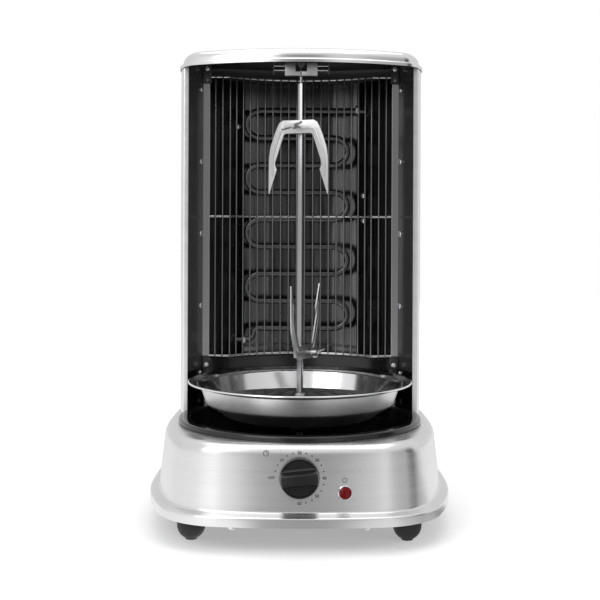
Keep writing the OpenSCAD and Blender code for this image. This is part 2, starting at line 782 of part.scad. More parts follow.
module housing() {
    color("silver") at_axis() translate([0, tower_back, 0]) difference() {
        translate([0, 0, top_z]) linear_extrude(housing_h) polygon(band(wrap_path, sheet));
        for (i = [0:vent_rows - 1], x = [-1, 1])
            translate([x * 34, 0, housing_top - 46 - vent_pitch * i]) rotate([-90, 0, 0])
            linear_extrude(100) vent_slot(vent_w, vent_h);
    }
}

panel_front = [housing_edge_x - hem_w + 0.6, housing_front + sheet + 0.4];
panel_rear = [panel_rear_x, panel_rear_y];
panel_line = [panel_front, panel_rear];
panel_dir = unit(panel_rear - panel_front);
panel_z = top_z + panel_lift;
panel_h = ceiling_z - panel_z;
panel_screw_in = 7;
panel_screw_low = 110.8;
panel_screw_pitch = 78;
panel_screw_zs = [for (i = [0:3]) panel_screw_low + panel_screw_pitch * i];

// Stands a piece on the chamber side of the right side panel, near its rear edge
module on_side_panel(z) {
    translate(panel_rear - panel_screw_in * panel_dir) translate([0, 0, z])
        rotate([0, 0, atan2(panel_dir[1], panel_dir[0])]) rotate([-90, 0, 0]) children();
}

module side_panel() {
    difference() {
        translate([0, 0, panel_z]) linear_extrude(panel_h) polygon(band(panel_line, -sheet));
        for (z = panel_screw_zs) on_side_panel(top_z + z) translate([0, 0, -5])
            cylinder(d = screw_d + 2 * screw_gap, h = 10, $fn = small);
    }
}

module side_panel_right() {
    color([0.16, 0.16, 0.17]) at_axis() side_panel();
}

module side_panel_left() {
    color([0.16, 0.16, 0.17]) at_axis() mirror([1, 0, 0]) side_panel();
}

skirt_screw_z = panel_lift - 5;

module side_skirt() {
    difference() {
        translate([0, 0, top_z]) linear_extrude(panel_lift - 0.2) polygon(band(panel_line, -sheet));
        on_side_panel(top_z + skirt_screw_z) translate([0, 0, -5])
            cylinder(d = screw_d + 2 * screw_gap, h = 10, $fn = small);
    }
}

module side_skirt_right() {
    color([0.05, 0.05, 0.05]) at_axis() side_skirt();
}

module side_skirt_left() {
    color([0.05, 0.05, 0.05]) at_axis() mirror([1, 0, 0]) side_skirt();
}

module panel_screws() {
    color("gainsboro") at_axis() both_sides() for (z = concat([skirt_screw_z], panel_screw_zs))
        on_side_panel(top_z + z) screw(screw_d, screw_head_d, screw_head_h, 5);
}

// ---- Heater compartment ----

flange_end = panel_rear + (sheet + lap_gap) * [panel_dir[1], -panel_dir[0]] + [0, 1.1];
flange_y = panel_rear_y + 0.3;
lip_start = [flange_end[0] + 0.25, flange_y];
lip_end = panel_rear + (sheet + lap_gap) * [panel_dir[1], -panel_dir[0]] - 13 * panel_dir;
reflector_z = top_z + reflector_low;
reflector_half_path = [[0, reflector_y], [reflector_mid, reflector_y],
    [reflector_fold_x, reflector_fold_y], [reflector_front_x, flange_y], lip_start, lip_end];
reflector_path = concat(flipped(backwards(reflector_half_path), -1, 1), past_first(reflector_half_path));
wing_slope = (reflector_fold_y - flange_y) / (reflector_front_x - reflector_fold_x);
wing_cross_x = reflector_fold_x + (reflector_fold_y - element_y) / wing_slope;
wing_angle = atan(wing_slope);
low_lip_w = 64;
low_lip_d = 8;
low_lip_z = 8.5;
element_top_z = element_z + element_pitch * (element_runs - 1);
element_turn = 80;
element_end_z = element_z - 2 * element_end_r * (1 - cos(element_turn));
// Screws on the reflector's wings: side, distance from the middle, height above the base
wing_screws = [[-1, 70, 308], [1, 70, 231], [1, 70, 203]];

module on_wing(side, x, z) {
    translate([side * x, reflector_fold_y - (x - reflector_fold_x) * wing_slope, z])
        rotate([0, 0, -side * wing_angle]) rotate([90, 0, 0]) children();
}

module reflector() {
    color([0.3, 0.3, 0.31]) at_axis() difference() {
        union() {
            translate([0, 0, reflector_z]) linear_extrude(reflector_h)
                polygon(band(reflector_path, sheet));
            translate([-low_lip_w / 2, reflector_y - low_lip_d, reflector_z + low_lip_z])
                cube([low_lip_w, low_lip_d + sheet / 2, sheet]);
        }
        translate([0, element_y, element_top_z]) rotate([0, 90, 0])
            cylinder(d = element_d + 0.8, h = 200);
        translate([0, element_y, element_end_z]) rotate([0, -90, 0])
            cylinder(d = element_d + 0.8, h = 200);
        for (s = wing_screws) on_wing(s[0], s[1], top_z + s[2]) translate([0, 0, -5])
            cylinder(d = screw_d + 2 * screw_gap, h = 10, $fn = small);
        both_sides() {
            for (z = concat([skirt_screw_z], panel_screw_zs)) on_side_panel(top_z + z)
                translate([0, 0, -5]) cylinder(d = screw_d + 2 * screw_gap, h = 10, $fn = small);
            bracket_hole(brackets[1][2]);
        }
        for (p = post_spots) translate([p[0], reflector_y - 5, p[1]]) rotate([-90, 0, 0])
            cylinder(d = 2 + 2 * screw_gap, h = 10, $fn = small);
    }
}

module reflector_screws() {
    color("gainsboro") at_axis() for (s = wing_screws) on_wing(s[0], s[1], top_z + s[2])
        screw(screw_d, screw_head_d, screw_head_h, 5);
}

// Round wall and floor below the heater, round the back of the bowl
shroud_r = tray_r + 1.2;
shroud_t = 1;
shroud_h = reflector_low;
shroud_end_x = panel_rear_x - 0.8;
shroud_flat_y = panel_rear_y;
shroud_angle = acos(shroud_flat_y / shroud_r);
shroud_arc = arc([0, 0], shroud_r, 90 - shroud_angle, 90 + shroud_angle, 24);
shroud_path = concat([[shroud_end_x, shroud_flat_y]], shroud_arc, [[-shroud_end_x, shroud_flat_y]]);
shroud_back = [[reflector_front_x, shroud_flat_y + 1.5], [reflector_fold_x, reflector_fold_y + 1],
    [reflector_mid, reflector_y + 1]];

module lower_shroud() {
    color([0.05, 0.05, 0.05]) at_axis() difference() {
        union() {
            translate([0, 0, top_z]) linear_extrude(shroud_h) polygon(band(shroud_path, -shroud_t));
            translate([0, 0, top_z + shroud_h - shroud_t]) linear_extrude(shroud_t)
                polygon(concat(shroud_path, flipped(shroud_back, -1, 1), backwards(shroud_back)));
        }
        both_sides() for (z = [tab_h / 2, brackets[0][2]]) bracket_hole(z);
    }
}

bracket_x = 101.6;
bracket_plate_w = 9;
ring_y = guard_r * cos(guard_angle);
bracket_y = ring_y - ring_d / 2 - sheet;
// Lower and upper bracket: heights of lower edge, upper edge, spacer and screw, and place of its seat
brackets = [[42.8, 55.4, 46.5, 46.5, shroud_flat_y], [351.6, ceiling_z - top_z - 0.1, 355, 367.5, flange_y]];
spacer_d = 6;
bracket_screw_d = screw_head_d - 0.8;
tab_w = 7;
tab_h = 13;
tab_screw_d = screw_head_d - 1.4;

module bracket_hole(z) {
    translate([bracket_x, 0, top_z + z]) rotate([-90, 0, 0])
        cylinder(d = screw_d + 2 * screw_gap, h = 200, $fn = small);
}

module corner_brackets() {
    color("darkgray") at_axis() both_sides() {
        for (b = brackets) difference() {
            union() {
                translate([bracket_x - bracket_plate_w / 2, bracket_y, top_z + b[0]])
                    cube([bracket_plate_w, sheet, b[1] - b[0]]);
                translate([bracket_x, bracket_y + sheet / 2, top_z + b[2]]) rotate([-90, 0, 0])
                    cylinder(d = spacer_d, h = b[4] - bracket_y - sheet / 2, $fn = small);
            }
            bracket_hole(b[2]);
            bracket_hole(b[3]);
        }
        difference() {
            translate([bracket_x - tab_w / 2, shroud_flat_y - sheet, top_z]) cube([tab_w, sheet, tab_h]);
            bracket_hole(tab_h / 2);
        }
    }
}

module bracket_screws() {
    color("gainsboro") at_axis() both_sides() {
        for (b = brackets) translate([bracket_x, bracket_y, top_z + b[3]]) rotate([90, 0, 0])
            screw(screw_d, bracket_screw_d, screw_head_h, b[3] > b[2] ? 3 : 7);
        translate([bracket_x, shroud_flat_y - sheet, top_z + tab_h / 2]) rotate([90, 0, 0])
            screw(screw_d, tab_screw_d, screw_head_h - 0.8, 5);
    }
}

wire_r0 = guard_r - ring_d / 2 - wire_d / 2 + 0.25;
wire_pitch = 2 * guard_angle / (2 * wires_round - 1);
wire_over = 1.2;

module guard_ring() {
    rotate(90 - guard_angle) rotate_extrude(angle = 2 * guard_angle) translate([guard_r, 0])
        circle(d = ring_d, $fn = small);
    both_sides() translate([guard_r * sin(guard_angle), ring_y, 0]) rotate([0, 90, 0])
        cylinder(d = ring_d, h = guard_half - guard_r * sin(guard_angle), $fn = small);
    both_sides() translate([guard_r * sin(guard_angle), ring_y, 0]) sphere(d = ring_d, $fn = small);
}

module guard_wire() {
    translate([0, 0, -wire_over]) cylinder(d = wire_d, h = guard_h + 2 * wire_over, $fn = small);
}

module wire_guard() {
    color("silver") at_axis() translate([0, 0, top_z + guard_low]) {
        for (z = [0, guard_h / 2, guard_h]) translate([0, 0, z]) guard_ring();
        for (i = [0:2 * wires_round - 1]) rotate(-guard_angle + wire_pitch * i)
            translate([0, wire_r0, 0]) guard_wire();
        both_sides() for (x = end_wire_x) translate([x, ring_y - guard_r + wire_r0, 0]) guard_wire();
    }
}

// The tube's route in its upright plane, from the lower left end to the upper right one
element_tail = 6;
element_steps = 10;
swing = element_end_r * sin(element_turn);
element_route = concat(
    [[-wing_cross_x - element_off - element_tail, element_end_z]],
    arc([-element_half - 2 * swing, element_end_z + element_end_r], element_end_r,
        270, 270 + element_turn, 5),
    past_first(arc([-element_half, element_z - element_end_r], element_end_r,
        90 + element_turn, 90, 5)),
    [for (i = [0:element_runs - 2]) let (side = i % 2 == 0 ? 1 : -1)
        each arc([side * element_half, element_z + element_pitch * (i + 0.5)], element_pitch / 2,
            -90, side > 0 ? 90 : -270, element_steps)],
    [[wing_cross_x - element_off + element_tail, element_top_z]]);
tube_sides = 12;

// A round tube swept along a route in the upright plane
module tube(route, d) {
    rings = len(route);
    points = [for (i = [0:rings - 1]) let (m = miter(route, i)) for (k = [0:tube_sides - 1])
        let (a = 360 * k / tube_sides, c = route[i] + d / 2 * cos(a) * m)
        [c[0], d / 2 * sin(a), c[1]]];
    sides = [for (i = [0:rings - 2], k = [0:tube_sides - 1]) let (n = (k + 1) % tube_sides)
        each [[i * tube_sides + k, (i + 1) * tube_sides + n, (i + 1) * tube_sides + k],
              [i * tube_sides + k, i * tube_sides + n, (i + 1) * tube_sides + n]]];
    first = [for (k = [tube_sides - 1:-1:0]) k];
    last = [for (k = [0:tube_sides - 1]) (rings - 1) * tube_sides + k];
    polyhedron(points, concat(sides, [first, last]));
}

module heating_element() {
    color([0.15, 0.15, 0.15]) at_axis() translate([element_off, element_y, 0])
        tube(element_route, element_d);
}

nut_r = 6;
nut_len = 4;
nut_x = wing_cross_x - nut_len - 5.6;

module element_nuts() {
    color("gainsboro") at_axis() for (e = [[1, element_top_z], [-1, element_end_z]])
        translate([e[0] * nut_x, element_y, e[1]]) rotate([0, 90 * e[0], 0]) difference() {
            cylinder(r = nut_r, h = nut_len, $fn = 6);
            translate([0, 0, -1]) cylinder(d = element_d + 2 * run_gap, h = nut_len + 2);
        }
}

post_spots = [[-18, element_z + 2 * element_pitch], [18, element_z + 2 * element_pitch],
    [-18, element_z + 6 * element_pitch], [18, element_z + 6 * element_pitch]];

module element_posts() {
    color("gray") at_axis() for (p = post_spots) translate([p[0], 0, p[1]]) difference() {
        union() {
            translate([0, element_y, 0]) rotate([-90, 0, 0])
                cylinder(d = 5, h = reflector_y - element_y - 0.05);
            translate([0, element_y, 0]) rotate([-90, 0, 0])
                cylinder(d = 2, h = reflector_y - element_y + 3, $fn = small);
        }
        translate([-10, element_y, 0]) rotate([0, 90, 0]) cylinder(d = element_d + 2 * run_gap, h = 20);
    }
}

stud_len = 12;

module element_terminals() {
    color("gainsboro") at_axis() for (e = [[1, element_top_z], [-1, element_end_z]])
        translate([e[0] * (wing_cross_x + element_tail), element_y, e[1]]) rotate([0, 90 * e[0], 0]) {
            cylinder(d = 3, h = stud_len, $fn = small);
            translate([0, 0, 3]) cylinder(r = 3.4, h = 2.4, $fn = 6);
        }
}

// ---- Cap ----

cap_outer = concat(
    [[cap_flare, -cap_skirt_h], [cap_flare, 0], [cap_flare - 0.8, cap_sheet], [1.2, cap_sheet],
     [0.2, cap_sheet + 0.6]],
    arc([-crown_r, crown_h - crown_r], crown_r, 0, 90, 6));
cap_inner = concat(
    arc([-crown_r, crown_h - crown_r], crown_r - cap_sheet, 90, 0, 4),
    [[-cap_sheet, 0], [cap_flare - cap_sheet, 0], [cap_flare - cap_sheet, -cap_skirt_h]]);
cap_stations = stations(cap_front_plan, cap_rear_plan);
pin_hole_r = 3;

module cap() {
    color([0.93, 0.93, 0.94]) at_axis() difference() {
        translate([0, tower_back, housing_top])
            skin([for (p = concat(cap_inner, cap_outer)) ring_at(cap_stations, p)], false);
        both_sides() translate([cap_screw_x, 0, housing_top])
            cylinder(d = screw_d + 2 * screw_gap, h = 40, $fn = small);
    }
}

yoke_t = 1.2;
cap_head_h = 1;

module cap_screws() {
    color("gainsboro") at_axis() both_sides() translate([cap_screw_x, 0, cap_top])
        screw(screw_d, 5, cap_head_h, cap_top - ceiling_z + 3);
}

module ceiling_plate() {
    color([0.1, 0.1, 0.1]) at_axis() difference() {
        translate([0, tower_back, ceiling_z]) plan_plate(cap_front_plan, cap_rear_plan, 4.5, sheet);
        both_sides() translate([cap_screw_x, 0, ceiling_z - 1])
            cylinder(d = screw_d + 2 * screw_gap, h = 5, $fn = small);
        translate([0, 0, ceiling_z - 1]) cylinder(r = pin_hole_r, h = 5);
    }
}

// ---- Top holder ----

rod_low_z = jaw_z + 5.8;
rod_high_z = jaw_z + 10.2;
jaw_notch_r = pin_d / 2 + 0.1;
rod_in = 6.6;
ear_h = ceiling_z - jaw_z - 1.2;
pocket_d = spring_d + 0.8;
pocket_in = jaw_in + 1.5;
pocket_len = jaw_len - 2.7;
collar_x = pocket_in + pocket_len - 1.4;
collar_t = 0.9;

module top_yoke() {
    color("darkgray") at_axis() difference() {
        union() {
            translate([-yoke_half, -yoke_d / 2, ceiling_z - yoke_t]) cube([2 * yoke_half, yoke_d, yoke_t]);
            both_sides() translate([yoke_half - yoke_t, -yoke_d / 2, ceiling_z - ear_h])
                cube([yoke_t, yoke_d, ear_h]);
        }
        both_sides() {
            translate([cap_screw_x, 0, ceiling_z - 3])
                cylinder(d = screw_d + 2 * screw_gap, h = 5, $fn = small);
            for (z = [rod_low_z, rod_high_z]) translate([yoke_half - 5, 0, z]) rotate([0, 90, 0])
                cylinder(d = rod_d + 0.02, h = 10, $fn = small);
        }
        translate([0, 0, ceiling_z - 3]) cylinder(r = pin_hole_r, h = 5);
    }
}

module guide_rods() {
    color("gainsboro") at_axis() both_sides() {
        for (z = [rod_low_z, rod_high_z]) translate([rod_in, 0, z]) rotate([0, 90, 0])
            cylinder(d = rod_d, h = yoke_half - rod_in, $fn = small);
        translate([collar_x, 0, rod_high_z]) rotate([0, 90, 0])
            cylinder(d = spring_d, h = collar_t, $fn = small);
    }
}

module jaw() {
    difference() {
        union() {
            translate([jaw_in, -jaw_d / 2, jaw_z]) cube([jaw_len, jaw_d, jaw_h]);
            translate([0.5, -jaw_d / 2, jaw_z]) cube([jaw_in + 0.5, jaw_d, lip_h]);
        }
        translate([0, 0, jaw_z - 1]) cylinder(r = jaw_notch_r, h = lip_h + 2, $fn = small);
        for (z = [rod_low_z, rod_high_z]) translate([jaw_in - 1, 0, z]) rotate([0, 90, 0])
            cylinder(d = rod_d + 2 * run_gap, h = jaw_len + 2, $fn = small);
        translate([pocket_in, 0, rod_high_z]) rotate([0, 90, 0])
            cylinder(d = pocket_d, h = pocket_len, $fn = small);
    }
}

module jaw_right() {
    color("lightgray") at_axis() jaw();
}

module jaw_left() {
    color("lightgray") at_axis() mirror([1, 0, 0]) jaw();
}

module jaw_spring() {
    translate([pocket_in + 0.05, 0, rod_high_z]) rotate([0, 90, 0]) difference() {
        cylinder(d = spring_d, h = collar_x - pocket_in - 0.1, $fn = small);
        translate([0, 0, -1]) cylinder(d = rod_d + 0.6, h = 20, $fn = small);
    }
}

module jaw_spring_right() {
    color("silver") at_axis() jaw_spring();
}

module jaw_spring_left() {
    color("silver") at_axis() mirror([1, 0, 0]) jaw_spring();
}

// ---- Skewer ----

bar_foot_z = post_z - socket_depth + 0.1;

module skewer_shaft() {
    color("gainsboro") at_axis() rotate([0, 0, bar_turn]) {
        translate([-bar_w / 2, -bar_w / 2, bar_foot_z]) cube([bar_w, bar_w, bar_z - bar_foot_z]);
        translate([0, 0, bar_z - 1]) cylinder(d = pin_d, h = pin_len + 1, $fn = small);
    }
}

barb_z = fork_bar_h + 36.8;
fork_tip = fork_bar_h + fork_len;
fork_side = [[fork_top_half, 0], [fork_half - 12, -2.4], [fork_half - 8.8, -8.7], [fork_half - 6.4, -14.6],
    [fork_half - 1.7, -28], [fork_half - 0.2, -39], [fork_half, -fork_tip], [fork_half - 0.9, -fork_tip],
    [fork_half - 7.3 - barb_w, -barb_z], [fork_half - 7.3, -barb_z + 4.8], [fork_half - 7.5, -barb_z + 7.6],
    [fork_in_half, -fork_bar_h]];
fork_outline = concat(fork_side, flipped(backwards(fork_side), -1, 1));
rib_side = [[fork_half - 3.1, -fork_tip + 18], [fork_half - 3.1, -37], [fork_half - 5.3, -29.7],
    [fork_half - 11.8, -12.5], [fork_top_half, -fork_bar_h / 2]];
rib_line = concat(rib_side, flipped(backwards(rib_side), -1, 1));
plate_face = sleeve_w / 2;

module fork() {
    difference() {
        union() {
            translate([0, -plate_face, 0]) rotate([90, 0, 0]) linear_extrude(fork_t) polygon(fork_outline);
            translate([0, -plate_face - fork_t + 0.01, 0]) rotate([90, 0, 0])
                linear_extrude(fork_rib_h) polygon(band(rib_line, fork_rib_w));
            translate([-sleeve_w / 2, -sleeve_w / 2 - 0.1, -fork_bar_h])
                cube([sleeve_w, sleeve_w + 0.1, fork_bar_h]);
        }
        translate([-socket_w / 2, -socket_w / 2, -fork_bar_h - 1])
            cube([socket_w, socket_w, fork_bar_h + 2]);
        translate([0, 0, -fork_bar_h / 2]) rotate([90, 0, 0])
            cylinder(d = thumb_d + 2 * run_gap, h = 30, $fn = small);
    }
}

module fork_upper() {
    color("gainsboro") at_axis() translate([0, 0, top_z + fork_upper_z + fork_bar_h])
        rotate([0, 0, bar_turn]) fork();
}

module fork_lower() {
    color("gainsboro") at_axis() translate([0, 0, top_z + fork_lower_z])
        rotate([0, 0, bar_turn + 90]) mirror([0, 0, 1]) fork();
}

wing_t = 1.6;
wing_boss_d = 5.6;
wing_boss_len = 4;
screw_reach = 14;

// A thumb screw along -Y, its tip on the bar
module thumb_screw() {
    rotate([90, 0, 0]) {
        translate([0, 0, bar_w / 2 + run_gap])
            cylinder(d = thumb_d, h = screw_reach - bar_w / 2, $fn = small);
        translate([0, 0, screw_reach - 1]) cylinder(d = wing_boss_d, h = wing_boss_len, $fn = small);
        rotate([0, 0, wing_turn]) translate([-wing_w / 2, -wing_t / 2, screw_reach + 1])
            cube([wing_w, wing_t, wing_len]);
    }
}

module thumb_screw_upper() {
    color("gainsboro") at_axis() translate([0, 0, top_z + fork_upper_z + fork_bar_h / 2])
        rotate([0, 0, bar_turn]) thumb_screw();
}

module thumb_screw_lower() {
    color("gainsboro") at_axis() translate([0, 0, top_z + fork_lower_z + fork_bar_h / 2])
        rotate([0, 0, bar_turn + 90]) thumb_screw();
}

// ---- Bowl ----

bowl_top = bowl_z + bowl_h;
bowl_skin = concat(
    [[bowl_r - 1.2, bowl_top - 1.8], [bowl_r, bowl_top - 1]],
    arc([bowl_r - 1.4, bowl_top - 1.4], 1.4, 20, 90, 3),
    [[bowl_r - bowl_rim_w, bowl_top - 2.2]],
    arc([bowl_r - bowl_rim_w - 0.6, bowl_top - 5.6], 3, 80, 155, 3),
    [[bowl_step_r + 2.4, bowl_z + bowl_step_h + 2.6], [bowl_step_r, bowl_z + bowl_step_h + 0.8],
     [bowl_step_r - 2.6, bowl_z + bowl_step_h]],
    arc([bowl_floor_r, bowl_z + 7 + bowl_sheet], 7, -48, -90, 5),
    [[post_d / 2 + bowl_gap, bowl_z + bowl_sheet]]);

module drip_bowl() {
    color([0.9, 0.9, 0.92]) at_axis() rotate_extrude() polygon(band(bowl_skin, bowl_sheet));
}

base_shell();
bottom_plate();
feet();
foot_screws();
plate_screws();
base_tray();
hub_bush();
drive_hub();
motor_bracket();
gear_motor();
motor_screws();
terminal_block();
cord_gland();
timer_body();
timer_shaft();
knob();
lamp_bezel();
lamp_lens();
lamp_body();
housing();
cap();
cap_screws();
ceiling_plate();
side_panel_left();
side_panel_right();
side_skirt_left();
side_skirt_right();
panel_screws();
lower_shroud();
reflector();
reflector_screws();
corner_brackets();
bracket_screws();
wire_guard();
heating_element();
element_nuts();
element_posts();
element_terminals();
top_yoke();
guide_rods();
jaw_left();
jaw_right();
jaw_spring_left();
jaw_spring_right();
skewer_shaft();
fork_upper();
fork_lower();
thumb_screw_upper();
thumb_screw_lower();
drip_bowl();
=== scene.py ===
import math

import bmesh
import bpy
from mathutils import Matrix, Vector


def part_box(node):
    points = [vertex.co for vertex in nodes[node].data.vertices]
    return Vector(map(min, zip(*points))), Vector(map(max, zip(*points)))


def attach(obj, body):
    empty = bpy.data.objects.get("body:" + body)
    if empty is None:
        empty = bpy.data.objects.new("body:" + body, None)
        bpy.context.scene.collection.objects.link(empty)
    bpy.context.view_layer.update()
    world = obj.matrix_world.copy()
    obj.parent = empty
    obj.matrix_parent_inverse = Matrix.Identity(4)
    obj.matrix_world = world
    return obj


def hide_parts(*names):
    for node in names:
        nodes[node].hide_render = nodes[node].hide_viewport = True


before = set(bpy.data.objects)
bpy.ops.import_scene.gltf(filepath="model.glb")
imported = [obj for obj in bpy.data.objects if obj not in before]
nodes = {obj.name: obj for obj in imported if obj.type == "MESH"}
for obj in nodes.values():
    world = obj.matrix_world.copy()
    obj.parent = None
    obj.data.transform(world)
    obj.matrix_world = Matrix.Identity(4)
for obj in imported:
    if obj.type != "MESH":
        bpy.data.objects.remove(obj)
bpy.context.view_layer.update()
print("frame loaded:", len(nodes), "nodes")

# Everything below is drawn in millimetres round the skewer's axis, and placed at the end
bowlLow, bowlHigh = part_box("drip_bowl")
axisY = (bowlLow.y + bowlHigh.y) / 2
mm = 0.001
levels = {"base": 24.6, "slope": 33.4, "wall": 36.0, "shoulder": 86.0, "top": 97.0, "housing": 463.2, "cap": 475.5}


class Wire:
    # A node's output that can stand in a sum
    def __init__(self, graph, socket):
        self.graph = graph
        self.socket = socket

    def math(self, kind, other=0.0, swapped=False):
        first, second = (other, self) if swapped else (self, other)
        return self.graph.node("ShaderNodeMath", {"operation": kind}, {0: first, 1: second})

    def __add__(self, other):
        return self.math("ADD", other)

    def __sub__(self, other):
        return self.math("SUBTRACT", other)

    def __rsub__(self, other):
        return self.math("SUBTRACT", other, True)

    def __mul__(self, other):
        return self.math("MULTIPLY", other)

    def __gt__(self, other):
        return self.math("GREATER_THAN", other)

    __radd__ = __add__
    __rmul__ = __mul__


class Graph:
    # A node tree; a node takes its settings first, then the values or wires of its inputs
    def __init__(self, tree):
        self.tree = tree

    def node(self, kind, settings=None, links=None, out=0):
        made = self.tree.nodes.new(kind)
        for key, value in (settings or {}).items():
            if key == "stops":
                while len(made.color_ramp.elements) < len(value):
                    made.color_ramp.elements.new(0.5)
                for element, (at, colour) in zip(made.color_ramp.elements, value):
                    element.position = at
                    element.color = (*colour, 1.0)
            else:
                setattr(made, key, value)
        for key, value in (links or {}).items():
            if isinstance(value, Wire):
                self.tree.links.new(value.socket, made.inputs[key])
            else:
                made.inputs[key].default_value = value
        return Wire(self, made.outputs[out])

    def mix(self, factor, first, second):
        return self.node("ShaderNodeMix", {"data_type": "RGBA"}, {0: factor, 6: first, 7: second}, out=2)


class Finish(Graph):
    # A material with its colour, gloss and marks
    def __init__(self, name, colour, roughness, metallic=0.0, coat=0.0, anisotropy=0.0):
        self.material = bpy.data.materials.new(name)
        self.material.use_nodes = True
        super().__init__(self.material.node_tree)
        self.shader = self.tree.nodes["Principled BSDF"]
        self.colour = colour
        self.roughness = roughness
        self.set("Base Color", (*colour, 1.0))
        self.set("Roughness", roughness)
        self.set("Metallic", metallic)
        self.set("Coat Weight", coat)
        self.set("Coat Roughness", 0.06)
        self.set("Anisotropic", anisotropy)
        self.material.diffuse_color = (*colour, 1.0)

    def set(self, key, value):
        if isinstance(value, Wire):
            self.tree.links.new(value.socket, self.shader.inputs[key])
        else:
            self.shader.inputs[key].default_value = value

    def place(self, scale, uv=""):
        if uv:
            where = self.node("ShaderNodeUVMap", {"uv_map": uv})
        else:
            where = self.node("ShaderNodeTexCoord", out=3)
        return self.node("ShaderNodeMapping", None, {"Vector": where, "Scale": scale})

    def noise(self, scale, detail, rough, uv="", stretch=(1, 1, 1)):
        return self.node("ShaderNodeTexNoise", None, {
            "Vector": self.place([scale * s for s in stretch], uv), "Scale": 1.0,
            "Detail": detail, "Roughness": rough})

    def tint(self, factor, low, high):
        return self.mix(factor, *[(*[c * share for c in self.colour], 1) for share in (low, high)])

    def bump(self, height, depth):
        self.set("Normal", self.node("ShaderNodeBump", None, {
            "Height": height, "Distance": depth * mm, "Strength": 1.0}))


class Shape(Graph):
    # A tree of geometry nodes with named inputs, grown on a drawn object
    def __init__(self, name, sizes):
        super().__init__(bpy.data.node_groups.new(name, "GeometryNodeTree"))
        face = self.tree.interface
        face.new_socket("Geometry", in_out="INPUT", socket_type="NodeSocketGeometry")
        face.new_socket("Geometry", in_out="OUTPUT", socket_type="NodeSocketGeometry")
        self.sizes = []
        for key, value in sizes.items():
            kind = "Int" if isinstance(value, int) else "Float"
            kind = "Object" if isinstance(value, bpy.types.Object) else kind
            socket = face.new_socket(key, in_out="INPUT", socket_type="NodeSocket" + kind)
            self.sizes.append((socket.identifier, value))
        self.entry = self.tree.nodes.new("NodeGroupInput")

    def given(self, name="Geometry"):
        return Wire(self, self.entry.outputs[name])

    def rod(self, line, width, sides):
        ring = self.node("GeometryNodeCurvePrimitiveCircle", None, {
            "Resolution": sides, "Radius": width * 0.5})
        return self.node("GeometryNodeCurveToMesh", None, {
            "Curve": line, "Profile Curve": ring, "Fill Caps": True})

    def end(self, geometry, material):
        real = self.node("GeometryNodeRealizeInstances", None, {"Geometry": geometry})
        done = self.node("GeometryNodeSetMaterial", None, {"Geometry": real, "Material": material})
        last = self.tree.nodes.new("NodeGroupOutput")
        self.tree.links.new(done.socket, last.inputs[0])

    def grow(self, source):
        modifier = source.modifiers.new("shape", "NODES")
        modifier.node_group = self.tree
        for identifier, value in self.sizes:
            modifier[identifier] = value
        return settled(source)


def settled(thing):
    # Bakes the modifiers of a drawn object into a plain mesh and drops the object
    bpy.context.view_layer.update()
    graph = bpy.context.evaluated_depsgraph_get()
    mesh = bpy.data.meshes.new_from_object(thing.evaluated_get(graph))
    old = thing.data
    bpy.data.objects.remove(thing)
    if old.users == 0 and isinstance(old, bpy.types.Mesh):
        bpy.data.meshes.remove(old)
    return mesh


def polar(radius, degrees, centre=(0.0, 0.0)):
    a = math.radians(degrees)
    return (centre[0] + radius * math.cos(a), centre[1] + radius * math.sin(a))


def arc(centre, radius, start, end, steps):
    return [polar(radius, start + (end - start) * i / steps, centre) for i in range(steps + 1)]


def rounded(path, radii, steps):
    # A path of straight lines with its corners rounded
    done = [path[0]]
    for i in range(1, len(path) - 1):
        radius = radii[i - 1] if isinstance(radii, (list, tuple)) else radii
        here, before, after = (Vector(path[k]) for k in (i, i - 1, i + 1))
        a, b = (before - here).normalized(), (after - here).normalized()
        bend = a.angle(b)
        reach = min(radius / math.tan(bend / 2), (before - here).length * 0.49, (after - here).length * 0.49)
        if radius <= 0 or bend > 3.13:  # sharp, or as good as straight
            done.append(tuple(here))
            continue
        start, end = here + a * reach, here + b * reach
        for k in range(steps + 1):
            t = k / steps
            done.append(tuple(start.lerp(here, t).lerp(here.lerp(end, t), t)))
    done.append(path[-1])
    return done


def offset(path, thick):
    # The same path, set off to its left
    out = []
    for i, p in enumerate(path):
        here = Vector(p)
        a = (here - Vector(path[i - 1])).normalized() if i else None
        b = (Vector(path[i + 1]) - here).normalized() if i < len(path) - 1 else None
        a, b = a or b, b or a
        m = (a + b).normalized()
        m = Vector((-m.y, m.x)) / max(m.dot(a), 0.3)
        out.append(tuple(here + m * thick))
    return out


def band(path, thick):
    return list(path) + offset(path, thick)[::-1]


def meshOf(points, faces, uv=None):
    mesh = bpy.data.meshes.new("drawn")
    mesh.from_pydata([tuple(p) for p in points], [], faces)
    if uv:
        layer = mesh.uv_layers.new(name="grain")
        for polygon in mesh.polygons:
            for loop in polygon.loop_indices:
                layer.data[loop].uv = uv(polygon, mesh.loops[loop].vertex_index)
    return mesh


def lathe(profile, segments, closed=True):
    # Turns a profile of (radius, height) round an upright axis; closed joins its two ends
    points, faces, rows = [], [], []
    for r, z in profile:
        if r < 1e-6:
            rows.append([len(points)] * segments)
            points.append((0.0, 0.0, z))
        else:
            rows.append(list(range(len(points), len(points) + segments)))
            points += [(*polar(r, 360 * k / segments), z) for k in range(segments)]
    for i in range(len(rows) if closed else len(rows) - 1):
        a, b = rows[i], rows[(i + 1) % len(rows)]
        for k in range(segments):
            n = (k + 1) % segments
            face = [a[k], a[n], b[n], b[k]]
            face = [v for j, v in enumerate(face) if v not in face[:j]]
            if len(face) > 2:
                faces.append(face)
    return meshOf(points, faces)


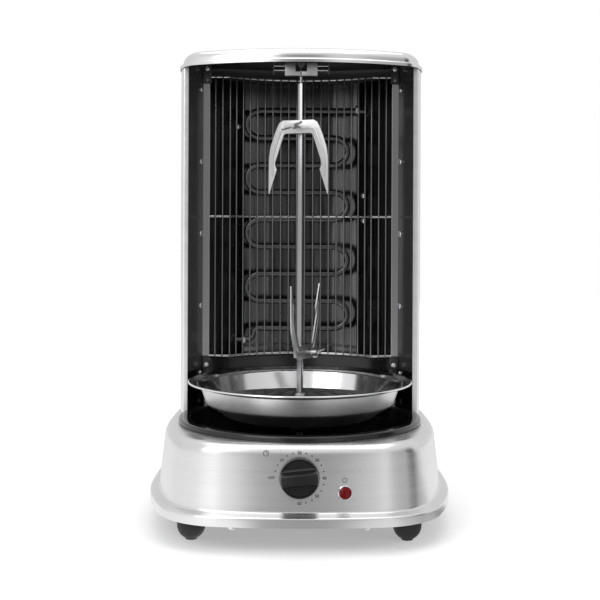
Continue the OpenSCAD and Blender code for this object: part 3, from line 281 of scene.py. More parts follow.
def loft(rings, closed, uv=None):
    # A skin over rings of equal count
    n, m = len(rings[0]), len(rings)
    points = [p for ring in rings for p in ring]
    faces = [[j * n + k, j * n + (k + 1) % n, ((j + 1) % m) * n + (k + 1) % n, ((j + 1) % m) * n + k]
             for j in range(m if closed else m - 1) for k in range(n)]
    if not closed:
        faces += [list(range(n))[::-1], [(m - 1) * n + k for k in range(n)]]
    return meshOf(points, faces, uv)


def wall(path, thick, low, high):
    # A bent sheet that stands upright, with its length along the path as its grain
    n, up = len(path), 2 * len(path)
    along = [0.0]
    for a, b in zip(path, path[1:]):
        along.append(along[-1] + math.dist(a, b))
    points = [(*p, z) for z in (low, high) for p in path + offset(path, thick)]
    faces = []
    for k in range(n - 1):
        faces += [[k, k + 1, up + k + 1, up + k], [n + k + 1, n + k, up + n + k, up + n + k + 1]]
    faces += [[n, 0, up, up + n], [n - 1, up - 1, 2 * up - 1, up + n - 1]]
    for k in range(n - 1):
        faces += [[k + 1, k, n + k, n + k + 1], [up + k, up + k + 1, up + n + k + 1, up + n + k]]
    return meshOf(points, faces, lambda polygon, v: (along[v % n] * mm, points[v][2] * mm))


def plate(outline, thick, low=0.0):
    # A flat plate that lies on the height low, from its outline
    shape = bmesh.new()
    ring = [shape.verts.new((*p, low)) for p in outline]
    face = shape.faces.new(ring)
    top = bmesh.ops.extrude_face_region(shape, geom=[face])["geom"]
    bmesh.ops.translate(shape, vec=(0, 0, thick), verts=[v for v in top if isinstance(v, bmesh.types.BMVert)])
    bmesh.ops.recalc_face_normals(shape, faces=shape.faces)
    mesh = bpy.data.meshes.new("plate")
    shape.to_mesh(mesh)
    shape.free()
    return mesh


def block(low, high):
    (x, y, z), (endX, endY, endZ) = low, high
    return plate([(x, y), (endX, y), (endX, endY), (x, endY)], endZ - z, z)


def drawn(mesh, name="drawn"):
    thing = bpy.data.objects.new(name, mesh)
    bpy.context.scene.collection.objects.link(thing)
    return thing


def bevelled(mesh, width, segments=2, angle=30):
    thing = drawn(mesh)
    bevel = thing.modifiers.new("edge", "BEVEL")
    bevel.width = width
    bevel.segments = segments
    bevel.limit_method = "ANGLE"
    bevel.angle_limit = math.radians(angle)
    bevel.use_clamp_overlap = True
    return settled(thing)


def combined(mesh, other):
    # The first mesh with the second cut out of it
    thing, tool = drawn(mesh), drawn(other)
    cut = thing.modifiers.new("cut", "BOOLEAN")
    cut.operation = "DIFFERENCE"
    cut.object = tool
    cut.solver = "EXACT"
    made = settled(thing)
    bpy.data.objects.remove(tool)
    return made


def moved(mesh, matrix):
    mesh.transform(matrix)
    if matrix.determinant() < 0:
        mesh.flip_normals()
    return mesh


def together(*meshes):
    shape = bmesh.new()
    for mesh in meshes:
        shape.from_mesh(mesh)
    mesh = bpy.data.meshes.new("together")
    shape.to_mesh(mesh)
    shape.free()
    return mesh


def shift(x, y, z):
    return Matrix.Translation((x, y, z))


def turn(degrees, axis):
    return Matrix.Rotation(math.radians(degrees), 4, axis)


def piece(name, mesh, finish, body="root", replaces=(), sharp=32, merge=True, inside=None):
    # Places a drawn mesh in the frame, shades it and lets it ride on its body; inside gives a
    # second finish, and the test that picks its faces by their centre and normal
    mesh.transform(Matrix.Diagonal((mm, mm, mm, 1)) @ shift(0, axisY * 1000, 0))
    if merge:
        shape = bmesh.new()
        shape.from_mesh(mesh)
        bmesh.ops.remove_doubles(shape, verts=shape.verts, dist=2e-6)
        bmesh.ops.recalc_face_normals(shape, faces=shape.faces)
        shape.to_mesh(mesh)
        shape.free()
    mesh.shade_smooth()
    mesh.set_sharp_from_angle(angle=math.radians(sharp))
    mesh.materials.clear()
    mesh.materials.append(finish.material)
    if inside:
        second, test = inside
        mesh.materials.append(second.material)
        for polygon in mesh.polygons:
            at = polygon.center * 1000 - Vector((0, axisY * 1000, 0))
            polygon.material_index = int(test(at, polygon.normal))
    mesh.name = name
    thing = drawn(mesh, name)
    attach(thing, body)
    if replaces:
        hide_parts(*replaces)
    return thing


def quarterOf(plan, counts):
    # A quarter of an outline made of side, corner and face arcs that touch: points and ways outwards
    halfWidth, halfDepth, faceRadius, cornerRadius, sideRadius = plan
    side, face = Vector((halfWidth - sideRadius, 0)), Vector((0, halfDepth - faceRadius))
    gap = face - side
    reach, other = sideRadius - cornerRadius, faceRadius - cornerRadius
    a = (reach ** 2 - other ** 2 + gap.length ** 2) / (2 * gap.length)
    h, u = math.sqrt(reach ** 2 - a * a), gap.normalized()
    corner = side + u * a + Vector((abs(u.y), abs(u.x))) * h
    one = math.degrees(math.atan2(corner.y - side.y, corner.x - side.x))
    two = math.degrees(math.atan2(corner.y - face.y, corner.x - face.x))
    found = []
    for centre, radius, start, end, count in ((side, sideRadius, 0, one, counts[0]),
                                              (corner, cornerRadius, one, two, counts[1]),
                                              (face, faceRadius, two, 90, counts[2])):
        for i in range(1 if found else 0, count + 1):
            angle = start + (end - start) * i / count
            found.append((polar(radius, angle, centre), polar(1, angle)))
    return found


def outlineOf(front, rear):
    # The whole outline, anticlockwise from the right side
    def flipped(part, sx, sy):
        return [((sx * p[0], sy * p[1]), (sx * n[0], sy * n[1])) for p, n in part]
    back, fore = (quarterOf(plan, (8, 16, 14)) for plan in (rear, front))
    return (back[:-1] + flipped(back[::-1], -1, 1)[:-1] + flipped(fore, -1, -1)[:-1]
            + flipped(fore[::-1], 1, -1)[:-1])


def ringAt(stations, out, z, centre):
    return [(p[0] + out * n[0], p[1] + out * n[1] + centre, z) for p, n in stations]


def alongRings(rings):
    # UV for a skin over rings: length round the outline, length along the section, in metres
    n = len(rings[0])
    wide = max(rings, key=lambda ring: sum(math.dist(ring[k - 1], ring[k]) for k in range(n)))
    around = [0.0]
    for k in range(n):
        around.append(around[-1] + math.dist(wide[k], wide[(k + 1) % n]))
    up = [0.0]
    for a, b in zip(rings, rings[1:]):
        up.append(up[-1] + math.dist(a[0], b[0]))

    def uv(polygon, v):
        k, j = v % n, v // n
        if k == 0 and polygon.index % n == n - 1:
            k = n
        return (around[k] * mm, up[j] * mm)
    return uv


def copies(places, model, finish):
    # Sets a model on each place, its +Z along the place's direction
    points = bpy.data.meshes.new("places")
    points.from_pydata([p for p, way in places], [], [])
    facing = points.attributes.new("facing", "FLOAT_VECTOR", "POINT")
    for i, (p, way) in enumerate(places):
        facing.data[i].vector = way
    sample = drawn(model, "model")
    shape = Shape("copies", {"Model": sample, "Size": 1.0})
    way = shape.node("GeometryNodeInputNamedAttribute", {"data_type": "FLOAT_VECTOR"}, {"Name": "facing"})
    turned = shape.node("FunctionNodeAlignRotationToVector", {"axis": "Z"}, {"Vector": way})
    copy = shape.node("GeometryNodeObjectInfo", None, {"Object": shape.given("Model")}, out="Geometry")
    dots = shape.node("GeometryNodeMeshToPoints", None, {"Mesh": shape.given()})
    sized = shape.node("ShaderNodeCombineXYZ", None, {axis: shape.given("Size") for axis in "XYZ"})
    placed = shape.node("GeometryNodeInstanceOnPoints", None, {
        "Points": dots, "Instance": copy, "Rotation": turned, "Scale": sized})
    shape.end(placed, finish.material)
    mesh = shape.grow(drawn(points))
    bpy.data.objects.remove(sample)
    return mesh


def swept(path, width, finish, sides=16):
    # A round rod along a line of points
    line = bpy.data.meshes.new("line")
    line.from_pydata([tuple(p) for p in path], [(i, i + 1) for i in range(len(path) - 1)], [])
    shape = Shape("rod", {"Width": float(width), "Sides": sides})
    curve = shape.node("GeometryNodeMeshToCurve", None, {"Mesh": shape.given()})
    shape.end(shape.rod(curve, shape.given("Width"), shape.given("Sides")), finish.material)
    return shape.grow(drawn(line))


cadMesh = {"merge": 0.002, "flat": 0.6}  # in millimetres and degrees


def cadCopy(node):
    # A CAD node's mesh in this script's millimetres, merged, with its flat faces whole again
    mesh = nodes[node].data.copy()
    mesh.transform(shift(0, -axisY * 1000, 0) @ Matrix.Diagonal((1000, 1000, 1000, 1)))
    shape = bmesh.new()
    shape.from_mesh(mesh)
    bmesh.ops.remove_doubles(shape, verts=shape.verts, dist=cadMesh["merge"])
    bmesh.ops.dissolve_limit(shape, angle_limit=math.radians(cadMesh["flat"]), verts=shape.verts, edges=shape.edges)
    shape.to_mesh(mesh)
    shape.free()
    return mesh


def dressed(finish, *names):
    # A procedural finish for CAD nodes that stay as they are
    for name in names:
        nodes[name].data.materials.clear()
        nodes[name].data.materials.append(finish.material)


# Finishes

wear = {"broad": 0.06, "fineColour": 0.45, "broadColour": 0.55, "fineGloss": 0.6, "middle": 0.8}


def worn(finish, scale, depth, spread=0.08, low=0.9, high=1.08, uv="", stretch=(1, 1, 1)):
    # Fine marks over broad patches: their scale per metre and depth in mm, the spread of the
    # roughness, and the darkest and lightest share of the colour
    fine = finish.noise(scale, 3, 0.6, uv, stretch)
    broad = finish.noise(scale * wear["broad"], 2, 0.5, uv, stretch)
    finish.set("Base Color", finish.tint(fine * wear["fineColour"] + broad * wear["broadColour"], low, high))
    finish.set("Roughness", broad * spread + fine * (spread * wear["fineGloss"])
               + (finish.roughness - spread * wear["middle"]))
    finish.bump(fine, depth)
    return finish


brushedSteel = worn(Finish("brushedSteel", (0.74, 0.74, 0.745), 0.28, 1.0, anisotropy=0.7),
                    1500, 0.004, 0.10, 0.84, 1.12, "grain", (0.02, 1, 1))
brushedSteel.set("Anisotropic Rotation", 0.25)
housingSteel = worn(Finish("housingSteel", (0.80, 0.80, 0.805), 0.30, 1.0, anisotropy=0.7),
                    1500, 0.004, 0.10, 0.84, 1.12, "grain", (0.02, 1, 1))
housingSteel.set("Anisotropic Rotation", 0.25)
bowlSteel = worn(Finish("bowlSteel", (0.78, 0.78, 0.79), 0.13, 1.0), 300, 0.002, 0.06, 0.94, 1.04)
capSteel = worn(Finish("capSteel", (0.74, 0.74, 0.75), 0.20, 1.0), 260, 0.003, 0.08, 0.92, 1.05)
bowlSatin = worn(Finish("bowlSatin", (0.76, 0.76, 0.765), 0.34, 1.0), 500, 0.003, 0.08, 0.9, 1.06)
enamel = worn(Finish("blackEnamel", (0.008, 0.008, 0.009), 0.12), 220, 0.004, 0.06, 0.7, 1.5)
shroudPaint = worn(Finish("shroudPaint", (0.006, 0.006, 0.007), 0.18), 300, 0.008, 0.10, 0.7, 1.6)
smokedPanel = worn(Finish("smokedPanel", (0.056, 0.056, 0.058), 0.24, 0.25), 90, 0.006, 0.12, 0.6, 1.5,
                   stretch=(1, 1, 0.2))
rubber = worn(Finish("rubber", (0.016, 0.016, 0.017), 0.62), 900, 0.03, 0.2, 0.7, 1.5)
zinc = worn(Finish("zinc", (0.70, 0.71, 0.73), 0.30, 1.0), 900, 0.006, 0.14, 0.85, 1.1)
guardSteel = worn(Finish("guardWire", (0.21, 0.21, 0.213), 0.30, 1.0), 400, 0.006, 0.14, 0.7, 1.2)
turnedSteel = worn(Finish("turnedSteel", (0.29, 0.29, 0.295), 0.26, 1.0), 1200, 0.004, 0.12, 0.85, 1.1,
                   stretch=(1, 1, 0.06))
# A lighter copy of the guard wire's steel, painted on the faces of the rings as a highlight
ringSteel = worn(Finish("ringSteel", (0.90, 0.90, 0.905), 0.30, 1.0), 400, 0.006, 0.14, 0.8, 1.15)
forkSteel = worn(Finish("forkSteel", (0.46, 0.46, 0.465), 0.34, 1.0), 700, 0.006, 0.14, 0.88, 1.06)
galvanised = worn(Finish("galvanised", (0.42, 0.42, 0.43), 0.38, 1.0), 260, 0.01, 0.16, 0.8, 1.15)
springSteel = worn(Finish("springSteel", (0.55, 0.55, 0.56), 0.28, 1.0), 1500, 0.004, 0.1, 0.8, 1.1)
sheath = worn(Finish("elementSheath", (0.12, 0.12, 0.121), 0.27, 1.0), 650, 0.02, 0.16, 0.6, 1.3)
darkPlate = worn(Finish("darkPlate", (0.030, 0.030, 0.031), 0.48, 0.2), 400, 0.02, 0.14, 0.6, 1.6)
motorCase = worn(Finish("motorCase", (0.50, 0.50, 0.51), 0.40, 1.0), 500, 0.01, 0.14)
bronze = worn(Finish("oiledBronze", (0.030, 0.022, 0.016), 0.42, 0.6), 1400, 0.02, 0.16, 0.7, 1.3)
shaftSteel = worn(Finish("shaftSteel", (0.30, 0.30, 0.305), 0.32, 1.0), 1200, 0.004, 0.12, 0.8, 1.15)
# A dark grey for the corner brackets and the top yoke
bracketPaint = worn(Finish("bracketPaint", (0.045, 0.045, 0.047), 0.36, 0.5), 500, 0.01, 0.14, 0.7, 1.4)
jawSteel = worn(Finish("jawSteel", (0.46, 0.46, 0.46), 0.46, 1.0), 900, 0.006, 0.12, 0.88, 1.08)
# A black finish painted in as shade on the inner faces of the housing and on the underside and inner faces of the cap
paintedShadeBlack = worn(Finish("towerLining", (0.010, 0.010, 0.011), 0.40), 120, 0.01, 0.16, 0.5, 1.8)
ivory = worn(Finish("ivoryPlastic", (0.72, 0.68, 0.56), 0.45), 600, 0.01, 0.1, 0.95, 1.03)
timerCase = worn(Finish("timerCase", (0.40, 0.30, 0.17), 0.5), 800, 0.02, 0.12, 0.8, 1.15)
chrome = worn(Finish("chrome", (0.80, 0.80, 0.81), 0.09, 1.0), 500, 0.002, 0.06, 0.95, 1.03)
knobPlastic = worn(Finish("knobPlastic", (0.009, 0.009, 0.010), 0.32), 2600, 0.02, 0.12, 0.75, 1.3)
knobPlastic.set("Specular IOR Level", 0.35)
glandPlastic = worn(Finish("glandPlastic", (0.020, 0.020, 0.021), 0.5), 1800, 0.03, 0.14, 0.75, 1.3)
redLens = worn(Finish("redLens", (0.15, 0.001, 0.002), 0.10, coat=0.15), 500, 0.004, 0.04, 0.7, 1.3)
redLens.set("Specular IOR Level", 0.15)
ink = worn(Finish("ink", (0.020, 0.020, 0.022), 0.55), 3000, 0.004, 0.1, 0.8, 1.3)

# The reflector is heat darkened in its middle and bright along its front flanges
heatSizes = {"flangeFrom": 98.5, "flange": (0.42, 0.42, 0.425), "scale": 140, "stretch": (1, 1, 0.05),
             "soot": [(0.35, (0.045, 0.045, 0.046)), (0.65, (0.15, 0.15, 0.15))], "gloss": (0.10, 0.14),
             "depth": 0.05}
reflectorSteel = Finish("reflectorSteel", (0.62, 0.62, 0.63), 0.2, 1.0)
sideways = reflectorSteel.node("ShaderNodeSeparateXYZ", None, {0: reflectorSteel.node("ShaderNodeTexCoord", out=3)})
flange = sideways.math("ABSOLUTE") > heatSizes["flangeFrom"] * mm
soot = reflectorSteel.noise(heatSizes["scale"], 4, 0.6, stretch=heatSizes["stretch"])
heat = reflectorSteel.node("ShaderNodeValToRGB", {"stops": heatSizes["soot"]}, {0: soot})
reflectorSteel.set("Base Color", reflectorSteel.mix(flange, heat, (*heatSizes["flange"], 1)))
glossLow, glossSpread = heatSizes["gloss"]
reflectorSteel.set("Roughness", soot * glossSpread + glossLow)
reflectorSteel.bump(soot, heatSizes["depth"])
print("finishes made")

# Base

baseSizes = {"front": (151, 160, 565, 71, 320), "rear": (151, 160, 565, 80, 1400), "back": 12,
             "flangeRadius": 2.6, "footRadius": 3.0, "shoulder": 11, "hole": 116.5, "holeEdge": (0.8, 0.2),
             "sheet": 1.0, "inset": 9, "leanIn": 5.3, "post": (1.65, 4.0), "postFoot": 26,
             "posts": ((-61, -138), (61, -138), (-61, 162), (61, 162)),
             "knobHole": (0, 67.4, 4.0), "lampHole": (41.5, 54.2, 5.0), "glandHole": (36, 50, 5.2)}
lean = math.atan(baseSizes["leanIn"] / (levels["shoulder"] - levels["wall"]))
faceRadius = baseSizes["front"][2]
faceCentre = faceRadius - baseSizes["front"][1] + baseSizes["back"]


def panelRadius(z):
    return faceRadius - (baseSizes["inset"] + (z - levels["wall"]) * math.tan(lean))


def panelY(x, z):
    return faceCentre - math.sqrt(panelRadius(z) ** 2 - x * x)


def onPanel(x, z):
    # A place on the sloping front panel, its +Z outwards
    return shift(x, panelY(x, z), z) @ turn(math.degrees(math.asin(x / panelRadius(z))), "Z") @ \
        turn(90 - math.degrees(lean), "X")


def onRear(x, z):
    return shift(0, 2 * baseSizes["back"], 0) @ Matrix.Diagonal((1, -1, 1, 1)) @ onPanel(x, z)


def drum(radius, half):
    return lathe([(0, -half), (radius, -half), (radius, half), (0, half)], 48, closed=False)


stations = outlineOf(baseSizes["front"], baseSizes["rear"])
inset, shoulder, sheet = baseSizes["inset"], baseSizes["shoulder"], baseSizes["sheet"]
edge = inset + baseSizes["leanIn"]
section = rounded([(0, levels["base"]), (0, levels["slope"]), (-inset, levels["wall"]),
                   (-edge, levels["shoulder"])], [baseSizes["flangeRadius"], baseSizes["footRadius"]], 5)
section += arc((-edge - shoulder, levels["shoulder"]), shoulder, 10, 90, 10)
lining = arc((-edge - shoulder, levels["shoulder"]), shoulder - sheet, 90, 0, 6)
lining += [(-inset - sheet, levels["wall"] - sheet), (-2 * sheet, levels["slope"] - sheet),
           (-sheet, levels["slope"] - 2 * sheet), (-sheet, levels["base"])]
rings = [ringAt(stations, out, z, baseSizes["back"]) for out, z in section]
hole, (holeOut, holeDown) = baseSizes["hole"], baseSizes["holeEdge"]
for radius, z in ((hole + holeOut, levels["top"]), (hole, levels["top"] - holeDown), (hole, levels["top"] - sheet)):
    rings.append([(*(Vector((p[0], p[1] + baseSizes["back"])).normalized() * radius), z) for p, n in stations])
rings += [ringAt(stations, out, z, baseSizes["back"]) for out, z in lining]
base = loft(rings, True, alongRings(rings))
for key, place in (("knobHole", onPanel), ("lampHole", onPanel), ("glandHole", onRear)):
    x, z, radius = baseSizes[key]
    base = combined(base, moved(drum(radius, 10), place(x, z)))
bore, width = baseSizes["post"]
low, high = baseSizes["postFoot"], levels["slope"]
post = [(bore, low), (width, low), (width, high), (bore, high)]
base = together(base, *[moved(lathe(post, 24), shift(*p, 0)) for p in baseSizes["posts"]])
piece("baseShell", base, brushedSteel, replaces=["base_shell"], sharp=40)

footSizes = {"places": ((102, -90), (-102, -90), (102, 110), (-102, 110)), "radius": 13.5, "recess": (4.5, 8),
             "nut": 21.2}
wide, high, (bore, deep) = footSizes["radius"], levels["base"], footSizes["recess"]
foot = [(0, deep), (bore, deep), (bore, 0.3), (bore + 0.3, 0), (bore + 0.9, 0)] + arc((0, wide), wide, -64, 0, 14)
foot += [(wide, high - 1.2), (wide - 0.6, high - 0.2), (wide - 1.1, high), (0, high)]
piece("feet", copies([((*p, 0), (0, 0, 1)) for p in footSizes["places"]], lathe(foot, 64, closed=False), rubber),
      rubber, replaces=["feet"], sharp=45)

# Screws: width and height of the head, width and length of the shank; nuts: corner radius, bore, height
screwSizes = {"foot": (7.6, 2.6, 4, 22.2), "plate": (7.6, 3.4, 3, 6.8), "cap": (5, 1.0, 3, 8.5),
              "panel": (6.4, 2.2, 3, 5), "bracket": (5.6, 2.2, 3, 3), "tab": (5, 1.4, 3, 5)}
nutSizes = {"foot": (4, 2.02, 3.2), "element": (6, 3.3, 4)}


def screwModel(kind):
    # A pan head screw with a cross recess, its head above z = 0
    headWidth, h, width, length = screwSizes[kind]
    r = headWidth / 2
    profile = [(0, -length), (width / 2 - 0.3, -length), (width / 2, 0.4 - length), (width / 2, 0), (r - 0.2, 0),
               (r, 0.15 * h), (r, 0.35 * h)] + arc((r - 0.6 * h, 0.35 * h), 0.6 * h, 15, 75, 4)
    profile += [(r - 0.75 * h, 0.97 * h), (0, h)]
    model = lathe(profile, 32, closed=False)
    arm, slot = r * 0.55, max(r * 0.13, 0.3)
    for x, y in ((arm, slot), (slot, arm)):
        model = combined(model, block((-x, -y, h * 0.45), (x, y, h + 1)))
    return model


def hexNut(kind):
    radius, bore, height = nutSizes[kind]
    return lathe([(bore, 0), (radius * 0.93, 0), (radius, height * 0.12), (radius, height * 0.88),
                  (radius * 0.93, height), (bore, height)], 6)


footScrew = together(screwModel("foot"), moved(hexNut("foot"), shift(0, 0, -footSizes["nut"])))
piece("footScrews", copies([((*p, deep), (0, 0, -1)) for p in footSizes["places"]], footScrew, zinc),
      zinc, replaces=["foot_screws"])
piece("plateScrews", copies([((*p, levels["base"]), (0, 0, -1)) for p in baseSizes["posts"]],
                            screwModel("plate"), zinc), zinc, replaces=["plate_screws"])

traySizes = {"rim": 123, "rimFoot": 97.3, "roll": 2.2, "rollHeight": 99.9, "rollIn": 113.1, "throat": 107.5,
             "throatRadius": 3, "ridge": 90, "floor": 88, "bore": 8, "sheet": 0.9, "bright": (111.4, 113.4)}
roll, rollHeight = traySizes["roll"], traySizes["rollHeight"]
ridge, bottom, bend = traySizes["ridge"], traySizes["floor"], traySizes["throatRadius"]
tray = [(traySizes["rim"], traySizes["rimFoot"])] + arc((traySizes["rim"] - roll, rollHeight), roll, 10, 90, 6)
tray += arc((traySizes["rollIn"], rollHeight), roll, 90, 160, 8)
tray += arc((traySizes["throat"], bottom + bend), bend, -20, -90, 6) + rounded(
    [(ridge + 4, bottom), (ridge + 2.4, bottom), (ridge + 0.8, bottom + 1.1), (ridge - 0.8, bottom + 1.1),
     (ridge - 2.4, bottom), (14, bottom), (12.6, bottom + 1.2), (traySizes["bore"], bottom + 1.2)],
    [1.5, 1.5, 1.5, 1.5, 1, 1], 3)


def onCrestHighlight(at, way):
    # The inner edge of the rolled crest, which takes chrome as a painted highlight on the black enamel
    low, high = traySizes["bright"]
    return low < math.hypot(at.x, at.y) < high and at.z > 99 and way.z > 0.4


# The chrome band on the crest's inner edge is a painted highlight
piece("baseTray", lathe(band(tray, traySizes["sheet"]), 160), enamel, replaces=["base_tray"],
      inside=(chrome, onCrestHighlight))
print("base drawn")

# Controls

# The bar of the knob is given as rows of height, width and radius
knobSizes = {"turn": -6, "skirtRadii": (0, 0.4, 0.3, 0.7, 0.3, 0.3, 0.6, 1),
             "skirt": ((3.1, 6.2), (3.1, 1.2), (18.2, 1.2), (18.5, 1.6), (17.9, 6.4), (17.1, 7.0), (16.5, 7.0),
                       (15.8, 6.4), (8, 6.2), (3.1, 6.2)),
             "bar": ((6.3, 17.2, 17.6), (6.9, 14.6, 17.6), (7.8, 13.0, 17.5), (9.5, 12.2, 17.4), (14, 11.0, 17.2),
                     (19.4, 9.8, 16.9), (20.6, 9.3, 16.6), (21.2, 8.4, 16.1), (21.5, 7.0, 15.2))}
knobX, knobZ = baseSizes["knobHole"][:2]
skirt = rounded(knobSizes["skirt"], knobSizes["skirtRadii"], 4)[:-1]
bars = []
for z, width, radius in knobSizes["bar"]:
    spread = math.degrees(math.asin(width / 2 / radius))
    ring = arc((0, 0), radius, -spread, spread, 14) + arc((0, 0), radius, 180 - spread, 180 + spread, 14)
    bars.append([(*p, z) for p in ring])
knob = together(lathe(skirt, 96), moved(loft(bars, False), turn(-knobSizes["turn"], "Z")))
piece("knob", moved(knob, onPanel(knobX, knobZ)), knobPlastic, "knob", ["knob"])

lampSizes = {"bezel": ((4.9, 0.15), (6.7, 0.15), (6.7, 1.0), (6.1, 2.35), (5.6, 2.35), (5.4, 1.3), (4.9, 1.3)),
             "bezelRadii": (0.1, 0.5, 0.4, 0.2, 0.1), "lens": ((0, 1.25), (5.3, 1.25), (5.3, 2.1)),
             "dome": (-5.35, 10, 57)}
lampPlace = onPanel(*baseSizes["lampHole"][:2])
bezel = rounded(lampSizes["bezel"], lampSizes["bezelRadii"], 3)
piece("lampBezel", moved(lathe(bezel, 64), lampPlace), chrome, replaces=["lamp_bezel"])
domeFoot, domeRadius, domeFrom = lampSizes["dome"]
lens = [*lampSizes["lens"], *arc((0, domeFoot), domeRadius, domeFrom, 90, 10)]
piece("lampLens", moved(lathe(lens, 64, closed=False), lampPlace), redLens, replaces=["lamp_lens"])

glandSizes = {"profile": ((3.8, -10), (7, -10), (7, -3), (5, -3), (5, 0.2), (7, 0.2), (7, 3.4), (6.2, 6.4), (5.4, 7),
                          (3.8, 7)), "radii": (0.3, 0.3, 0, 0, 0.4, 1, 0.8, 0.3)}
gland = lathe(rounded(glandSizes["profile"], glandSizes["radii"], 4), 64)
piece("cordGland", moved(gland, onRear(*baseSizes["glandHole"][:2])), glandPlastic,
      replaces=["cord_gland"])

dialSizes = {"numbers": 22.6, "height": 2.9, "off": 25.4, "offHeight": 2.5, "dots": 22.8, "dot": 0.65, "line": 0.5,
             "marks": {"10": 135, "20": 90, "30": 45, "40": 0, "50": -45, "60": -90},
             "dotAngles": (165, 150, 120, 105, 75, 60, 30, 15, -15, -30, -60, -75),
             "clock": (-30.5, 21.8, 2.7), "hands": ((0, 1.7), (0, 0), (1.2, 0)), "handWidth": 0.45,
             "power": (41.2, -2.0, 2.3), "stroke": (0.7, 2.6), "powerArc": (125, 415), "gap": 0.01, "ink": 0.06}


def printed(mesh, x, up):
    # Lays a flat drawing on the sloping panel, a little proud of it
    for v in mesh.vertices:
        px, pz = x + v.co.x, knobZ + (up + v.co.y) * math.cos(lean)
        v.co = (px, panelY(px, pz) - dialSizes["gap"] - max(v.co.z, 0) * dialSizes["ink"], pz)
    return mesh


def word(text, height):
    # Lettering as a mesh, centred on its own middle
    curve = bpy.data.curves.new("word", "FONT")
    curve.body = text
    curve.extrude = 0.5
    curve.offset = 0.02
    curve.resolution_u = 4
    mesh = settled(drawn(curve, "word"))
    xs, ys = [v.co.x for v in mesh.vertices], [v.co.y for v in mesh.vertices]
    size = height / (max(ys) - min(ys))
    mesh.transform(Matrix.Scale(size, 4) @ shift(-(min(xs) + max(xs)) / 2, -(min(ys) + max(ys)) / 2, 0))
    for v in mesh.vertices:
        v.co.z = 1.0 if v.co.z > 0 else 0.0
    return mesh


line = dialSizes["line"]
marks = [printed(word(text, dialSizes["height"]), *polar(dialSizes["numbers"], angle))
         for text, angle in dialSizes["marks"].items()]
marks.append(printed(word("OFF", dialSizes["offHeight"]), -dialSizes["off"], 0))
dots = copies([((*polar(dialSizes["dots"], a), 0), (0, 0, 1)) for a in dialSizes["dotAngles"]],
              plate(arc((0, 0), dialSizes["dot"], 0, 345, 23), 1), ink)
marks.append(printed(dots, 0, 0))
x, up, radius = dialSizes["clock"]
rim = lathe([(radius - line, 0), (radius, 0), (radius, 1), (radius - line, 1)], 48)
hands = plate(band(dialSizes["hands"], dialSizes["handWidth"]), 1)
marks += [printed(rim, x, up), printed(hands, x, up)]
x, up, radius = dialSizes["power"]
start, end = dialSizes["powerArc"]
rim = plate(arc((0, 0), radius, start, end, 40) + arc((0, 0), radius - line, end, start, 40), 1)
low, high = dialSizes["stroke"]
stroke = plate([(-line / 2, low), (line / 2, low), (line / 2, high), (-line / 2, high)], 1)
marks += [printed(rim, x, up), printed(stroke, x, up)]
piece("dialMarks", together(*marks), ink, sharp=30, merge=False)
print("controls drawn")

# Tower

towerSizes = {"back": 76, "front": 38, "plan": (129, 72, 204, 45, 130), "hem": 5, "hemRadius": 1.3, "sheet": 0.8,
              "ventX": 34, "ventZ": 417.2, "ventPitch": 9, "ventRows": 7, "ventWidth": 26, "ventHeight": 3.4,
              "ventReach": 100}
back, front = towerSizes["back"], towerSizes["front"]
sideX, sideRadius = towerSizes["plan"][0], towerSizes["plan"][4]
swing = math.degrees(math.asin((back - front) / sideRadius))
edgeX = sideX - sideRadius * (1 - math.cos(math.radians(swing)))
side = [(edgeX - towerSizes["hem"], front - back), (edgeX, front - back)]
side += arc((sideX - sideRadius, 0), sideRadius, -swing, 0, 12)[1:-1]
side = rounded(side, [towerSizes["hemRadius"]] + [0] * (len(side) - 3), 5)
side += [p for p, n in quarterOf(towerSizes["plan"], (6, 18, 16))]
wrap = side + [(-x, y) for x, y in side[-2::-1]]
housing = wall(wrap, towerSizes["sheet"], levels["top"], levels["housing"])
housing.transform(shift(0, back, 0))
ventEnd, reach = towerSizes["ventHeight"] / 2, towerSizes["ventReach"]
ventHalf = towerSizes["ventWidth"] / 2 - ventEnd
vent = arc((ventHalf, 0), ventEnd, -90, 90, 8) + arc((-ventHalf, 0), ventEnd, 90, 270, 8)
vents = copies([((s * towerSizes["ventX"], reach, towerSizes["ventZ"] - towerSizes["ventPitch"] * i), (0, 1, 0))
                for i in range(towerSizes["ventRows"]) for s in (-1, 1)], plate(vent, reach), housingSteel)
housing = combined(housing, vents)


# The housing's inner faces behind its front hem, which take the black finish as painted shade
def inHousingShade(at, way):
    return way.dot(Vector((at.x, at.y - back, 0))) < 0 and at.y > front + 0.4


piece("housing", housing, housingSteel, replaces=["housing"], sharp=30,
      inside=(paintedShadeBlack, inHousingShade))

capSizes = {"front": (127, 90, 204, 34, 130), "rear": (127, 70, 204, 43, 130), "height": 12.3, "edge": 9,
            "flare": 3.6, "skirt": 2.9, "sheet": 0.9, "flat": 24, "middle": 0.3, "shadeFrom": 463, "shadeY": 40,
            "screws": (-9, 9)}
stations = outlineOf(capSizes["front"], capSizes["rear"])
height, edge, flat = capSizes["height"], capSizes["edge"], capSizes["flat"]
flare, drop, sheet = capSizes["flare"], capSizes["skirt"], capSizes["sheet"]
rise = height - edge
outer = rounded([(flare, -drop), (flare, 0.0), (flare - 0.7, sheet), (1.2, sheet), (0.1, 1.4), (0, rise)],
                [0.3, 0.4, 0.6, 0.5], 3)
outer += arc((-edge, rise), edge, 6, 90, 12) + [(-flat, height)]
inner = [(-flat, height - sheet)] + arc((-edge, rise), edge - sheet, 90, 0, 8)
inner += [(-sheet, 0), (flare - sheet, 0), (flare - sheet, -drop)]
rings = [ringAt(stations, out, levels["housing"] + z, back) for out, z in inner + outer]
crown = [[(x * capSizes["middle"], (y - back) * capSizes["middle"] + back, z) for x, y, z in ring]
         for ring in (rings[0], rings[-1])]
